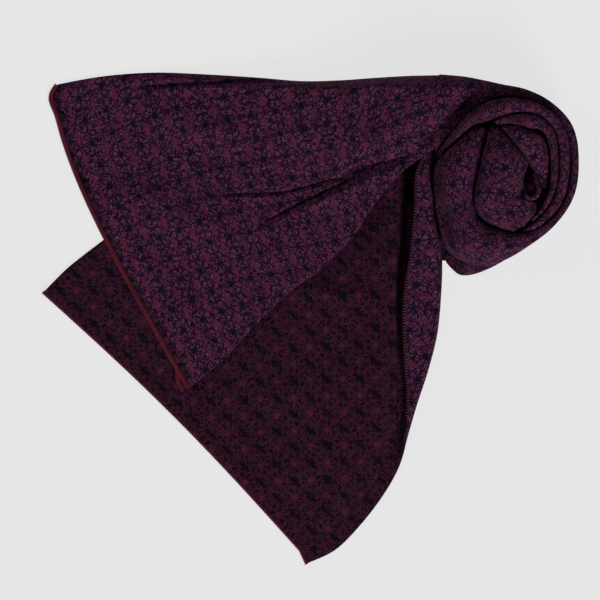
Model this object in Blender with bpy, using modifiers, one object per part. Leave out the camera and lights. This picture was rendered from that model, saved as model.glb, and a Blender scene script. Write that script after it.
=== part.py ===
"""A knitted scarf, 300 mm wide and about 1.8 m long, laid down with its middle wound into a roll.

X runs to the right of the layout, Y away from the front, Z up, and the floor is z = 0. The scarf is
one knitted panel with a rolled hem at each end. It is built as the stretches that show: the upper
tail with one long side tucked under, the lower tail with one long side folded over as a flap, the
turns of the roll, and one rounded solid for the layers that stay hidden. Every stretch is a wall
of cloth, lofted through the rows of a short table. All sizes below are millimetres.
"""

from collections import namedtuple
from math import cos, exp, hypot, pi, radians, sin

import bpy
import numpy as np
from mathutils import Vector

MM = 0.001

# Driving sizes
CLOTH = 2.0             # thickness of the double-faced knit
GAP = 0.5               # half the clearance between two neighbouring stretches
HEM_RADIUS = 1.95       # the rolled rim of the upper end, seen from its right side
TURNED_HEM_RADIUS = 1.6  # the rim of the lower end, which lies below the cloth
HEM_GAP = 0.35          # clearance between a rim and the cloth that it finishes
RIM_SHOWS = 1.2         # how far the lower rim looks out from under the cloth
BEAD_SHARE = 0.15       # share of the first stretch that lies level on the rim
BEAD_RUN = 0.35         # share of the first stretch over which the lower tail climbs onto its rim
ROUND = 1.15            # height of a rounded shoulder for each unit of its width
FULL_ROUND = 0.45       # what a broad shoulder that stands on the floor adds to that
BOW_LEAN = 0.62         # how far the bow of the upper end leans towards its far corner
TIP_WIDTH = 8.0         # a turn narrower than this has a thinner wall

# Heights of the flat layers of the upper tail, from its loose side to its fold
ON_FLOOR = CLOTH
ON_LOWER_TAIL = 4.9
ON_TUCK = 7.4

# Shares of the upper tail's width: where it climbs onto each layer below it, and over how much
LOWER_TAIL_AT_END = 0.30
LOWER_TAIL_SHIFT = 0.12     # how much further in that lies towards the roll
SHIFT_FROM, SHIFT_RUN = -196.0, 120.0
LOWER_TAIL_RAMP = 0.10
TUCK_LEAD, TUCK_RAMP = 0.11, 0.08
FOLD_LEAD, FOLD_RAMP = 0.09, 0.08
LIFT_FROM, LIFT_RUN = 0.12, 0.86
# Widths over which the pressed folds fade out beside the turned side and the far slope
CALM_AT_FOLD, CALM_AT_SLOPE = 22.0, 14.0

# Shares of the lower tail's width over which its folds and its swell fade out
CALM_AT_SIDE, CALM_AT_LEFT = 0.3, 0.1
SWELL_RUN = 0.35
FLAP_LEAN = 0.05        # how much the flap rises for each unit of its width
CURLED_FROM, CURLED_RUN = 60.0, 120.0   # degrees over which a side counts as turned over
LEANING_FROM, LEANING_RUN = 120.0, 60.0

# The roll's turns: feet below the first height stand on the floor, broad shoulders are fuller
FLOOR_FOOT, FLOOR_FADE = 20.0, 12.0
BROAD_FROM, BROAD_RUN = 5.0, 6.0
MOST_ROUND = 0.8        # the most of a wall's height that its shoulder takes

# The upper tail, from the end hem to the roll. top: the far side, on the floor. fold: the near
# side, turned under. lift_far and lift_fold raise the cloth towards the roll. slope is the width
# of the far slope, tuck the width turned under and fold_r half the height of the turn.
Upper = namedtuple("Upper", "top_x top_y fold_x fold_y foot lift_far lift_fold slope tuck fold_r bow")
UPPER_TAIL = [
    Upper(-193.5, 180.5, -91.6, -52.3, 2.0, 0.0, 2.0, 6.0, 40.0, 3.4, 13.5),
    Upper(-160.0, 187.0, -66.0, -31.0, 1.6, 1.0, 0.6, 6.0, 43.0, 2.7, 10.0),
    Upper(-120.0, 190.0, -41.0, -4.0, 0.5, 5.0, 0.4, 8.0, 48.0, 2.6, 6.0),
    Upper(-77.0, 188.5, -17.0, 19.0, 0.0, 10.0, 1.0, 9.0, 50.0, 2.7, 3.0),
    Upper(-38.0, 186.0, 3.0, 34.0, 0.0, 15.0, 3.0, 9.0, 46.0, 2.9, 1.0),
    Upper(-7.0, 183.5, 19.0, 48.0, 0.0, 20.0, 6.5, 9.0, 42.0, 3.2, 0.0),
    Upper(22.0, 184.0, 34.0, 64.0, 0.0, 26.0, 11.0, 9.0, 36.0, 3.5, 0.0),
    Upper(51.0, 186.0, 51.5, 90.0, 0.0, 33.0, 18.0, 9.0, 30.0, 3.8, 0.0),
    Upper(77.0, 187.5, 72.0, 113.5, 0.0, 40.0, 26.0, 10.0, 22.0, 4.0, 0.0),
    Upper(101.6, 188.0, 96.6, 130.8, 0.0, 45.0, 33.0, 10.0, 12.0, 4.0, 0.0),
]

# The lower tail, from its end hem to the neck of the roll. left: the long side under the upper
# tail. side: the outline on the right. curl is how far the side is turned over, in degrees, with
# curl_r and flap the turn's radius and the flat width beyond it, and flap_z the flap's height.
Lower = namedtuple("Lower", "left_x left_y side_x side_y curl curl_r flap flap_z swell bow")
LOWER_TAIL = [
    Lower(-205.0, 20.8, -2.0, -188.5, 0.0, 2.9, 2.5, 5.8, 0.0, 4.7),
    Lower(-188.0, 38.0, 20.0, -178.0, 0.0, 2.9, 2.5, 5.8, 0.0, 2.5),
    Lower(-172.0, 51.0, 40.0, -158.0, 0.0, 2.9, 2.5, 5.8, 0.0, 0.5),
    Lower(-155.0, 64.0, 57.5, -135.0, 0.0, 2.9, 2.5, 5.8, 0.0, 0.0),
    Lower(-136.0, 80.0, 69.5, -113.0, 25.0, 2.9, 2.5, 5.8, 0.0, 0.0),
    Lower(-115.0, 95.0, 76.0, -90.0, 120.0, 2.9, 2.5, 5.8, 0.0, 0.0),
    Lower(-92.0, 108.0, 83.0, -66.0, 180.0, 2.9, 4.5, 6.0, 0.0, 0.0),
    Lower(-68.0, 118.0, 91.5, -40.0, 180.0, 3.2, 15.0, 7.0, 0.0, 0.0),
    Lower(-42.0, 125.0, 98.5, -12.0, 180.0, 3.6, 22.5, 8.5, 0.5, 0.0),
    Lower(-15.0, 128.0, 101.5, 18.0, 180.0, 4.4, 23.5, 11.0, 1.5, 0.0),
    Lower(12.0, 128.5, 102.3, 46.0, 180.0, 5.2, 19.5, 15.5, 3.0, 0.0),
    Lower(34.0, 129.0, 99.5, 70.0, 180.0, 6.0, 13.5, 20.0, 5.0, 0.0),
    Lower(50.0, 129.5, 96.0, 92.0, 180.0, 6.3, 8.0, 24.0, 7.0, 0.0),
    Lower(60.0, 130.5, 94.0, 110.0, 180.0, 6.0, 5.5, 26.5, 8.0, 0.0),
    Lower(69.0, 134.0, 98.4, 127.4, 180.0, 5.5, 3.5, 29.0, 7.0, 0.0),
]

# A turn of the roll, from its outer side to its inner side. foot_z and in_z are the heights of
# its two edges, tuck how far it draws in at the floor, crest_z its greatest height and crest_at
# where that lies across it.
Turn = namedtuple("Turn", "out_x out_y in_x in_y foot_z tuck crest_at crest_z in_z")
OUTER_TURN = [
    Turn(103.0, 188.0, 99.4, 132.4, 0.0, 1.0, 0.20, 47.5, 39.0),
    Turn(119.0, 186.5, 110.3, 145.5, 0.0, 2.0, 0.26, 48.5, 39.0),
    Turn(134.0, 183.7, 121.5, 157.0, 0.0, 3.0, 0.36, 49.0, 39.5),
    Turn(149.0, 180.3, 139.0, 168.0, 0.0, 3.5, 0.45, 48.0, 40.0),
    Turn(165.0, 177.0, 161.3, 170.5, 0.0, 3.5, 0.50, 47.0, 40.0),
    Turn(180.5, 170.2, 176.4, 165.6, 0.0, 3.5, 0.50, 46.0, 40.0),
    Turn(193.0, 160.5, 187.9, 157.9, 0.0, 3.5, 0.50, 46.0, 40.0),
    Turn(201.3, 150.0, 195.3, 148.6, 0.0, 3.5, 0.50, 46.0, 40.0),
    Turn(205.6, 137.5, 198.6, 136.5, 0.0, 3.5, 0.50, 46.0, 40.0),
    Turn(206.9, 122.5, 200.0, 122.5, 0.0, 3.5, 0.50, 46.0, 40.0),
    Turn(206.2, 107.0, 199.4, 108.0, 0.0, 3.5, 0.50, 46.0, 40.0),
    Turn(202.8, 93.5, 196.4, 95.5, 0.0, 3.5, 0.50, 46.5, 40.0),
    Turn(195.3, 80.3, 190.5, 83.8, 0.0, 3.5, 0.52, 47.0, 40.0),
    Turn(184.0, 67.7, 180.4, 73.9, 0.0, 3.5, 0.56, 48.0, 40.0),
    Turn(169.5, 56.8, 169.0, 66.8, 0.0, 3.5, 0.60, 49.0, 40.0),
    Turn(153.7, 47.0, 157.0, 66.0, 5.0, 2.0, 0.66, 50.0, 40.0),
    Turn(137.5, 41.0, 146.0, 68.7, 11.0, 1.0, 0.68, 51.5, 40.0),
    Turn(122.0, 42.5, 136.0, 72.7, 11.0, 1.0, 0.66, 53.0, 40.0),
    Turn(105.2, 53.2, 129.0, 79.0, 8.0, 2.0, 0.62, 54.0, 40.0),
    Turn(101.0, 66.0, 126.3, 86.0, 0.0, 4.0, 0.60, 55.0, 40.0),
    Turn(96.7, 86.0, 126.0, 95.0, 0.0, 5.0, 0.58, 56.0, 40.0),
    Turn(94.3, 104.0, 127.8, 104.0, 0.0, 5.0, 0.58, 57.0, 40.0),
    Turn(95.6, 117.0, 130.3, 113.5, 2.0, 4.5, 0.56, 57.0, 40.0),
    Turn(102.5, 126.3, 132.3, 122.5, 32.0, 0.0, 0.55, 56.0, 40.0),
    Turn(111.0, 134.4, 134.0, 130.8, 40.0, 0.0, 0.52, 54.0, 40.0),
    Turn(120.5, 144.1, 136.8, 138.5, 40.0, 0.0, 0.50, 51.0, 40.0),
    Turn(129.5, 149.6, 138.6, 144.5, 40.0, 0.0, 0.50, 48.0, 40.0),
]
SECOND_TURN = [
    Turn(99.8, 131.2, 102.3, 126.3, 37.5, 0.0, 0.50, 41.5, 37.5),
    Turn(106.0, 139.6, 109.5, 133.3, 40.0, 0.0, 0.45, 47.0, 40.0),
    Turn(114.0, 149.3, 118.0, 142.5, 40.0, 0.0, 0.40, 52.5, 40.0),
    Turn(123.5, 159.0, 126.5, 149.6, 40.0, 0.0, 0.40, 56.5, 41.0),
    Turn(136.8, 166.9, 134.5, 151.3, 40.0, 0.0, 0.36, 58.5, 44.0),
    Turn(148.9, 169.6, 146.3, 155.3, 40.0, 0.0, 0.36, 59.5, 47.0),
    Turn(162.0, 169.6, 159.8, 158.6, 40.0, 0.0, 0.38, 60.0, 49.0),
    Turn(176.0, 165.7, 171.8, 158.3, 40.0, 0.0, 0.42, 60.0, 47.0),
    Turn(187.8, 157.9, 182.1, 152.9, 40.0, 0.0, 0.46, 60.0, 45.0),
    Turn(195.9, 147.0, 188.2, 144.8, 40.0, 0.0, 0.48, 59.5, 43.0),
    Turn(199.2, 135.0, 190.9, 135.0, 40.0, 0.0, 0.50, 59.0, 42.0),
    Turn(199.9, 122.5, 191.8, 123.5, 40.0, 0.0, 0.50, 58.5, 42.0),
    Turn(199.2, 108.5, 191.6, 110.5, 40.0, 0.0, 0.50, 58.0, 42.0),
    Turn(196.6, 96.2, 189.2, 97.3, 40.0, 0.0, 0.50, 57.0, 42.0),
    Turn(191.0, 84.8, 184.5, 87.0, 40.0, 0.0, 0.50, 55.0, 41.0),
    Turn(181.7, 75.0, 177.3, 78.3, 40.0, 0.0, 0.50, 52.0, 40.0),
    Turn(172.3, 68.4, 170.0, 73.0, 40.0, 0.0, 0.50, 48.0, 40.0),
    Turn(164.4, 66.2, 163.6, 69.8, 40.0, 0.0, 0.50, 45.0, 40.0),
]
THIRD_TURN = [
    Turn(141.0, 152.5, 144.3, 148.3, 42.0, 0.0, 0.50, 50.0, 42.0),
    Turn(149.8, 156.2, 152.8, 149.8, 45.0, 0.0, 0.50, 55.5, 44.0),
    Turn(160.0, 158.1, 161.2, 148.0, 47.0, 0.0, 0.50, 58.0, 44.0),
    Turn(169.3, 158.4, 168.8, 146.0, 47.0, 0.0, 0.50, 59.0, 43.0),
    Turn(178.8, 155.4, 175.5, 145.6, 45.0, 0.0, 0.50, 58.5, 42.0),
    Turn(186.4, 147.8, 180.8, 141.4, 43.0, 0.0, 0.50, 58.0, 41.0),
    Turn(190.2, 137.8, 183.6, 132.0, 42.0, 0.0, 0.50, 57.0, 40.0),
    Turn(191.3, 125.0, 184.9, 120.5, 42.0, 0.0, 0.50, 56.0, 40.0),
    Turn(191.5, 110.5, 185.0, 107.8, 42.0, 0.0, 0.50, 55.0, 40.0),
    Turn(189.1, 97.4, 183.2, 96.6, 42.0, 0.0, 0.50, 54.0, 40.0),
    Turn(184.4, 87.2, 179.0, 88.6, 41.0, 0.0, 0.50, 52.0, 40.0),
    Turn(177.0, 78.4, 174.2, 81.6, 40.0, 0.0, 0.50, 49.0, 40.0),
    Turn(171.3, 74.0, 169.6, 77.2, 40.0, 0.0, 0.50, 46.5, 40.0),
]
# The broad middle panel, between the two cracks that meet above it
CENTRE_PANEL = [
    Turn(139.8, 147.2, 143.4, 147.0, 41.0, 0.0, 0.50, 48.5, 41.0),
    Turn(138.6, 140.2, 148.6, 143.0, 40.0, 0.0, 0.45, 54.0, 42.0),
    Turn(136.4, 132.6, 154.8, 136.2, 40.0, 0.0, 0.42, 58.5, 43.0),
    Turn(134.3, 125.2, 161.0, 128.2, 40.0, 0.0, 0.42, 61.0, 44.0),
    Turn(132.8, 117.0, 166.0, 120.0, 40.0, 0.0, 0.42, 62.5, 44.0),
    Turn(130.4, 108.4, 163.2, 110.6, 40.0, 0.0, 0.44, 63.0, 46.0),
    Turn(128.6, 100.2, 162.6, 101.6, 40.0, 0.0, 0.46, 62.5, 47.0),
    Turn(127.6, 92.2, 162.6, 93.0, 40.0, 0.0, 0.46, 61.5, 46.0),
    Turn(128.9, 84.9, 170.8, 89.6, 40.0, 0.0, 0.44, 60.0, 43.0),
    Turn(132.8, 79.6, 172.8, 84.4, 40.0, 0.0, 0.46, 57.5, 41.0),
    Turn(140.0, 74.6, 169.8, 79.8, 40.0, 0.0, 0.48, 55.0, 40.0),
    Turn(148.8, 71.0, 166.6, 76.0, 40.0, 0.0, 0.50, 52.0, 40.0),
    Turn(157.0, 69.0, 163.6, 72.2, 40.0, 0.0, 0.50, 48.5, 40.0),
]
# The fold that bulges beside the panel and sinks towards the swirl
INNER_FOLD = [
    Turn(147.4, 147.4, 151.0, 148.4, 43.0, 0.0, 0.50, 50.0, 43.0),
    Turn(152.8, 143.4, 158.8, 146.8, 43.0, 0.0, 0.50, 55.5, 43.0),
    Turn(158.6, 137.0, 167.3, 144.0, 43.0, 0.0, 0.50, 58.5, 42.0),
    Turn(163.6, 130.6, 174.6, 141.6, 43.0, 0.0, 0.46, 59.0, 41.0),
    Turn(168.2, 123.4, 180.6, 133.4, 43.0, 0.0, 0.44, 56.5, 40.0),
    Turn(172.6, 115.8, 182.8, 120.5, 41.0, 0.0, 0.44, 51.0, 40.0),
    Turn(176.4, 108.8, 183.0, 110.0, 40.0, 0.0, 0.46, 47.5, 40.0),
    Turn(178.6, 101.4, 182.2, 100.0, 40.0, 0.0, 0.50, 46.0, 40.0),
]

# The layer that looks out below the outer turn, folded on the outline. in: its hidden edge.
Layer = namedtuple("Layer", "out_x out_y in_x in_y height")
LOWER_LAYER = [
    Layer(103.4, 49.6, 111.6, 57.0, 5.6),
    Layer(104.8, 44.8, 113.6, 56.0, 6.4),
    Layer(109.0, 39.4, 117.0, 55.0, 7.6),
    Layer(116.0, 34.0, 123.0, 53.5, 9.4),
    Layer(126.0, 34.3, 130.5, 53.0, 10.5),
    Layer(138.0, 38.6, 140.5, 53.5, 10.0),
    Layer(149.0, 44.4, 150.0, 55.0, 5.4),
]

# Outline of the hidden layers below the roll, as radius from their middle at each bearing
Bearing = namedtuple("Bearing", "degrees radius")
HIDDEN_MIDDLE = (150.0, 112.0)
HIDDEN_OUTLINE = [
    Bearing(0.0, 52.2), Bearing(15.0, 54.0), Bearing(30.0, 58.0), Bearing(45.0, 60.3),
    Bearing(60.0, 61.3), Bearing(75.0, 61.8), Bearing(90.0, 63.5), Bearing(120.0, 70.0),
    Bearing(150.0, 54.0), Bearing(163.0, 49.0), Bearing(171.0, 46.5), Bearing(180.0, 49.0),
    Bearing(192.0, 50.0), Bearing(206.0, 52.5), Bearing(222.0, 60.0), Bearing(236.0, 61.5),
    Bearing(248.0, 59.5), Bearing(260.0, 56.5), Bearing(270.0, 54.0), Bearing(285.0, 52.0),
    Bearing(300.0, 50.8), Bearing(315.0, 50.4), Bearing(330.0, 50.6), Bearing(345.0, 51.4),
]
# Its side, from the floor to the middle of its top: share of the outline, and height
Ring = namedtuple("Ring", "share height")
HIDDEN_SIDE = [
    Ring(0.93, 0.0), Ring(0.985, 5.0), Ring(1.0, 13.0), Ring(0.985, 22.0), Ring(0.94, 29.0),
    Ring(0.86, 33.5), Ring(0.70, 36.0), Ring(0.40, 37.0), Ring(0.12, 37.3),
]
# The hidden layers of the neck, which rise from the tails to the roll
Neck = namedtuple("Neck", "x near_y far_y height")
HIDDEN_NECK = [
    Neck(-12.0, 152.0, 172.0, 4.0),
    Neck(12.0, 145.0, 175.0, 12.0),
    Neck(40.0, 141.0, 178.0, 21.0),
    Neck(70.0, 138.0, 180.0, 29.0),
    Neck(94.0, 134.0, 180.0, 35.0),
    Neck(106.0, 128.0, 178.0, 35.5),
    Neck(125.0, 140.0, 172.0, 35.5),
]

# Soft folds pressed into a tail: three points along each, its depth (a ridge is negative), and
# its half-width
Fold = namedtuple("Fold", "start_x start_y mid_x mid_y end_x end_y depth width")
UPPER_FOLDS = [
    Fold(-29.0, 76.0, 9.0, 96.0, 60.0, 120.0, 6.0, 9.0),
    Fold(-61.0, 96.0, -20.0, 98.0, 9.0, 104.0, 2.6, 7.0),
    Fold(-80.0, 116.0, -38.0, 114.0, 14.0, 110.0, 2.0, 9.0),
    Fold(-131.0, 113.0, -100.0, 90.0, -54.0, 79.0, 1.6, 13.0),
    Fold(-112.0, 167.0, -86.0, 162.0, -62.0, 157.0, 1.8, 12.0),
    Fold(60.0, 152.0, 88.0, 158.0, 108.0, 172.0, -3.0, 12.0),
    Fold(84.0, 140.0, 94.0, 146.0, 104.0, 156.0, 3.5, 10.0),
]
LOWER_FOLDS = [
    Fold(-18.0, 23.0, 12.0, 20.0, 42.0, 15.0, -2.4, 8.0),
    Fold(40.0, 68.0, 52.0, 58.0, 68.0, 46.0, 1.2, 8.0),
]

# The upper rim lies on its own tucked stretch near the fold, and that stretch peeps out there
RIM_ON_TUCK = 8.4
TUCKED_RIM_Z = 4.3
RIM_LEAD, RIM_CLIMB = 14.0, 12.0
RIM_SINK = 0.6          # how far the rim's middle lies below the cloth's top side
PEEP = 4.4              # how far the tucked rim peeps out beyond the upper one
PEEP_RUN = 13.0         # length of the peeping stretch
CORNER_EASE = 1.5       # crowds a rim's points towards the corner where it starts

# The tight swirl at the heart of the roll
SWIRL_MIDDLE = (170.4, 98.9)
SWIRL_OUTER, SWIRL_INNER = 6.0, 1.9
SWIRL_TURNS = 1.15
SWIRL_RIB = 1.5
SWIRL_Z = (50.0, 55.5)
SWIRL_START = 0.6       # bearing of its outer end, in radians

FOLD_FADE = 0.25        # share of a fold over which each of its ends fades out
NECK_ROUND = 0.7        # below 1 the neck's section is fuller than a half circle

SIDE_POINTS = 4         # points up the wall of a turn
CAP_POINTS = 4          # points over each shoulder of a turn
TAIL_POINTS = 14        # points across the flat of a tail
TURN_POINTS = 6         # points round the fold of a tail
TUCK_POINTS = 4         # points across what is folded under or over
LAYER_POINTS = 3        # points across each face of the lower layer
RING_POINTS = 30        # points round the hidden layers
NECK_POINTS = 11        # steps across and along the neck
RIM_STEPS, TUCKED_RIM_STEPS = 28, 9
SWIRL_STEPS = 22
UPPER_STEPS = 20
LOWER_END_PLACES = (0.0, 0.15, 0.32, 0.5)
LOWER_STEPS = 21
OUTER_STEPS, SECOND_STEPS, THIRD_STEPS = 38, 34, 17
PANEL_STEPS, INNER_STEPS, LAYER_STEPS = 14, 9, 11


def smooth(value):
    """Ease from 0 to 1 while value runs from 0 to 1."""
    held = min(max(value, 0.0), 1.0)
    return held * held * (3.0 - 2.0 * held)


def row_at(rows, place):
    """The row at a place along a table, on a smooth curve through its rows."""
    last = len(rows) - 1
    i = min(int(place), last - 1)
    f = place - i
    before, start, end, after = (
        np.array(rows[min(max(k, 0), last)], float) for k in (i - 1, i, i + 1, i + 2))
    curve = (start + 0.5 * f * (end - before
                                + f * (2 * before - 5 * start + 4 * end - after
                                       + f * (3 * (start - end) + after - before))))
    return type(rows[0])(*curve)


def places(rows, steps):
    """Evenly spread places from the first row of a table to its last."""
    return [(len(rows) - 1) * k / steps for k in range(steps + 1)]


def fold_depth(folds, x, y):
    """How far a point is pressed down by all the folds near it."""
    total = 0.0
    for fold in folds:
        ends = [(fold.start_x, fold.start_y), (fold.mid_x, fold.mid_y), (fold.end_x, fold.end_y)]
        nearest = (1e9, 0.0)
        for leg, ((ax, ay), (bx, by)) in enumerate(zip(ends, ends[1:])):
            run = hypot(bx - ax, by - ay)
            along = ((x - ax) * (bx - ax) + (y - ay) * (by - ay)) / run ** 2
            held = min(max(along, 0.0), 1.0)
            away = hypot(x - ax - held * (bx - ax), y - ay - held * (by - ay))
            nearest = min(nearest, (away, (leg + held) / 2.0))
        away, along = nearest
        fade = smooth(along / FOLD_FADE) * smooth((1.0 - along) / FOLD_FADE)
        total += fold.depth * fade * exp(-(away / fold.width) ** 2)
    return total


def line_direction(rows, place, name):
    """Direction in plan of the line that a table's points of one name follow."""
    ahead = row_at(rows, min(place + 0.05, len(rows) - 1.0))
    behind = row_at(rows, max(place - 0.05, 0.0))
    run = Vector((getattr(ahead, name + "_x") - getattr(behind, name + "_x"),
                  getattr(ahead, name + "_y") - getattr(behind, name + "_y")))
    return run.normalized()


def upper_spot(row, distance):
    """Plan position on a line across the upper tail, at a distance from its far side."""
    top, fold = Vector((row.top_x, row.top_y)), Vector((row.fold_x, row.fold_y))
    across = (fold - top).normalized()
    share = min(max(distance / (fold - top).length, 0.0), 1.0)
    bowed = row.bow * sin(pi * share ** BOW_LEAN)
    return top + across * distance + Vector((across.y, -across.x)) * bowed


def upper_height(row, distance):
    """Height of the upper tail's top side at a distance across it."""
    length = hypot(row.fold_x - row.top_x, row.fold_y - row.top_y)
    share = distance / length
    tuck_start = 1.0 - row.tuck / length
    shift = LOWER_TAIL_SHIFT * smooth((row.top_x - SHIFT_FROM) / SHIFT_RUN)
    on_lower = smooth((share - LOWER_TAIL_AT_END - shift) / LOWER_TAIL_RAMP)
    on_tuck = smooth((share - tuck_start + TUCK_LEAD) / TUCK_RAMP)
    layers = ON_FLOOR + (ON_LOWER_TAIL - ON_FLOOR) * on_lower + (ON_TUCK - ON_LOWER_TAIL) * on_tuck
    lift = row.lift_far + (row.lift_fold - row.lift_far) * smooth((share - LIFT_FROM) / LIFT_RUN)
    if row.lift_fold > row.lift_far:
        lift = row.lift_fold * smooth((share - tuck_start + FOLD_LEAD) / FOLD_RAMP)
    place = upper_spot(row, distance)
    calm = smooth((length - distance) / CALM_AT_FOLD)
    calm *= smooth((distance - row.slope) / CALM_AT_SLOPE)
    return layers + lift - calm * fold_depth(UPPER_FOLDS, place.x, place.y)


def upper_section(rows, place):
    """One line across the upper tail: far slope, flat, fold and the part turned under."""
    row = row_at(rows, place)
    run = line_direction(rows, place, "fold")
    across = Vector((row.fold_x - row.top_x, row.fold_y - row.top_y))
    length = across.length
    squareness = abs(across.x * run.y - across.y * run.x) / length
    reach = row.fold_r / squareness
    flat_end = length - reach

    points = []
    ridge = upper_height(row, row.slope)
    for k in range(SIDE_POINTS):
        angle = 0.5 * pi * k / SIDE_POINTS
        spot = upper_spot(row, row.slope * (1.0 - cos(angle)))
        points.append((spot.x, spot.y, row.foot + (ridge - row.foot) * sin(angle)))
    for k in range(TAIL_POINTS):
        distance = row.slope + (flat_end - row.slope) * k / (TAIL_POINTS - 1)
        points.append((*upper_spot(row, distance), upper_height(row, distance)))
    middle = upper_height(row, flat_end) - row.fold_r
    for k in range(1, TURN_POINTS + 1):
        angle = 0.5 * pi - pi * k / TURN_POINTS
        spot = upper_spot(row, flat_end + reach * cos(angle))
        points.append((spot.x, spot.y, middle + row.fold_r * sin(angle)))
    for k in range(1, TUCK_POINTS + 1):
        distance = flat_end - (row.tuck - reach) * k / TUCK_POINTS
        height = upper_height(row, distance) - 2.0 * row.fold_r
        points.append((*upper_spot(row, distance), height))
    return points


def lower_section(rows, place):
    """One line across the lower tail, by its under face: flat, turn, and the flap folded over."""
    row = row_at(rows, place)
    run = line_direction(rows, place, "side")
    outward = Vector((run.y, -run.x))
    curl = radians(max(row.curl, 1.0))
    radius = pi * row.curl_r / curl
    reach = radius if curl > 0.5 * pi else radius * sin(curl) + row.flap * cos(curl)
    curled = smooth((row.curl - CURLED_FROM) / CURLED_RUN)
    rise = 1.0 + (row.flap_z / (2.0 * row.curl_r) - 1.0) * curled
    left = Vector((row.left_x, row.left_y))
    foot = Vector((row.side_x, row.side_y)) - outward * reach
    inward = Vector((left.y - foot.y, foot.x - left.x)).normalized()
    bead = 2.0 * TURNED_HEM_RADIUS + HEM_GAP
    climb = bead * (1.0 - smooth((place - BEAD_SHARE) / BEAD_RUN))

    points = []
    for k in range(TAIL_POINTS + 1):
        share = k / TAIL_POINTS
        spot = left.lerp(foot, share) + inward * row.bow * sin(pi * share)
        calm = smooth((1.0 - share) / CALM_AT_SIDE) * smooth(share / CALM_AT_LEFT)
        swell = row.swell * smooth((1.0 - share) / SWELL_RUN)
        pressed = calm * fold_depth(LOWER_FOLDS, spot.x, spot.y)
        points.append((spot.x, spot.y, max(swell - pressed, 0.0) + climb))
    base = points[-1][2]
    for k in range(1, TURN_POINTS + 1):
        angle = curl * k / TURN_POINTS
        spot = foot + outward * radius * sin(angle)
        points.append((spot.x, spot.y, base + rise * radius * (1.0 - cos(angle))))
    end = Vector(points[-1])
    lean = FLAP_LEAN * smooth((row.curl - LEANING_FROM) / LEANING_RUN)
    for k in range(1, TUCK_POINTS + 1):
        step = row.flap * k / TUCK_POINTS
        spot = Vector((end.x, end.y)) + outward * step * cos(curl)
        points.append((spot.x, spot.y, end.z + step * (sin(curl) + lean)))
    return points


def arch_section(row):
    """One line across a turn of the roll: up its outer wall, over its crest, down its inner one."""
    out, inner = Vector((row.out_x, row.out_y)), Vector((row.in_x, row.in_y))
    across = (inner - out).normalized()
    on_floor = smooth((FLOOR_FOOT - row.foot_z) / FLOOR_FADE)
    start = GAP * (1.0 - on_floor)
    width = (inner - out).length - start - GAP
    out_width, in_width = row.crest_at * width, (1.0 - row.crest_at) * width
    roundness = ROUND + FULL_ROUND * on_floor * smooth((out_width - BROAD_FROM) / BROAD_RUN)
    out_rise = min(MOST_ROUND * (row.crest_z - row.foot_z), roundness * out_width)
    in_rise = min(MOST_ROUND * (row.crest_z - row.in_z), ROUND * in_width)

    profile = []
    shoulder = row.crest_z - out_rise
    for k in range(SIDE_POINTS):
        up = k / SIDE_POINTS
        tucked = row.tuck * (1.0 - up) ** 2
        profile.append((tucked, row.foot_z + up * (shoulder - row.foot_z)))
    for k in range(CAP_POINTS + 1):
        angle = 0.5 * pi * k / CAP_POINTS
        profile.append((out_width * (1.0 - cos(angle)), shoulder + out_rise * sin(angle)))
    for k in range(1, CAP_POINTS + 1):
        angle = 0.5 * pi * (1.0 - k / CAP_POINTS)
        profile.append((width - in_width * (1.0 - cos(angle)),
                        row.crest_z - in_rise + in_rise * sin(angle)))
    profile.append((width, row.in_z))
    return [(*(out + across * (start + along)), z) for along, z in profile], width


def layer_section(row):
    """One line across the lower layer: its under face, the turn on the outline, and its top."""
    out, inner = Vector((row.out_x, row.out_y)), Vector((row.in_x, row.in_y))
    inward = (inner - out).normalized()
    half = 0.5 * row.height
    depth = (inner - out).length - half
    profile = [(half + depth * (1.0 - k / LAYER_POINTS), 0.0) for k in range(LAYER_POINTS)]
    for k in range(TURN_POINTS + 1):
        angle = pi * k / TURN_POINTS - 0.5 * pi
        profile.append((half * (1.0 - cos(angle)), half + half * sin(angle)))
    profile += [(half + depth * (k + 1) / LAYER_POINTS, row.height) for k in range(LAYER_POINTS)]
    return [(*(out + inward * along), z) for along, z in profile]


def material(name, colour, roughness):
    """A plain Principled material in the cloth's mean colour."""
    made = bpy.data.materials.new(name)
    made.use_nodes = True
    shader = made.node_tree.nodes["Principled BSDF"]
    shader.inputs["Base Color"].default_value = (*colour, 1.0)
    shader.inputs["Roughness"].default_value = roughness
    shader.inputs["Metallic"].default_value = 0.0
    made.diffuse_color = (*colour, 1.0)
    return made


def place_object(name, data, finish, collection):
    """Make a named object of a mesh or curve and give it its material."""
    made = bpy.data.objects.new(name, data)
    data.materials.append(finish)
    collection.objects.link(made)
    return made


def loft_mesh(name, sections, flip):
    """An open surface through sections of equal length, in metres."""
    columns = len(sections[0])
    corners = [tuple(MM * value for value in point) for section in sections for point in section]
    faces = []
    for i in range(len(sections) - 1):
        for j in range(columns - 1):
            a = i * columns + j
            quad = (a, a + 1, a + columns + 1, a + columns)
            faces.append(quad[::-1] if flip else quad)
    mesh = bpy.data.meshes.new(name)
    mesh.from_pydata(corners, [], faces)
    mesh.validate()
    return mesh


def cloth_wall(name, sections, finish, collection, flip=False, widths=None):
    """A wall of cloth: the open surface with its thickness added on the inner side."""
    mesh = loft_mesh(name, sections, flip)
    wall = place_object(name, mesh, finish, collection)
    thickness = wall.modifiers.new("thickness", "SOLIDIFY")
    thickness.thickness = CLOTH * MM
    thickness.offset = -1.0
    if widths:
        columns = len(sections[0])
        group = wall.vertex_groups.new(name="wall")
        for i, width in enumerate(widths):
            share = min(1.0, width / TIP_WIDTH)
            group.add(list(range(i * columns, (i + 1) * columns)), share, "REPLACE")
        thickness.vertex_group = group.name
    settle(wall)
    return wall


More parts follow.
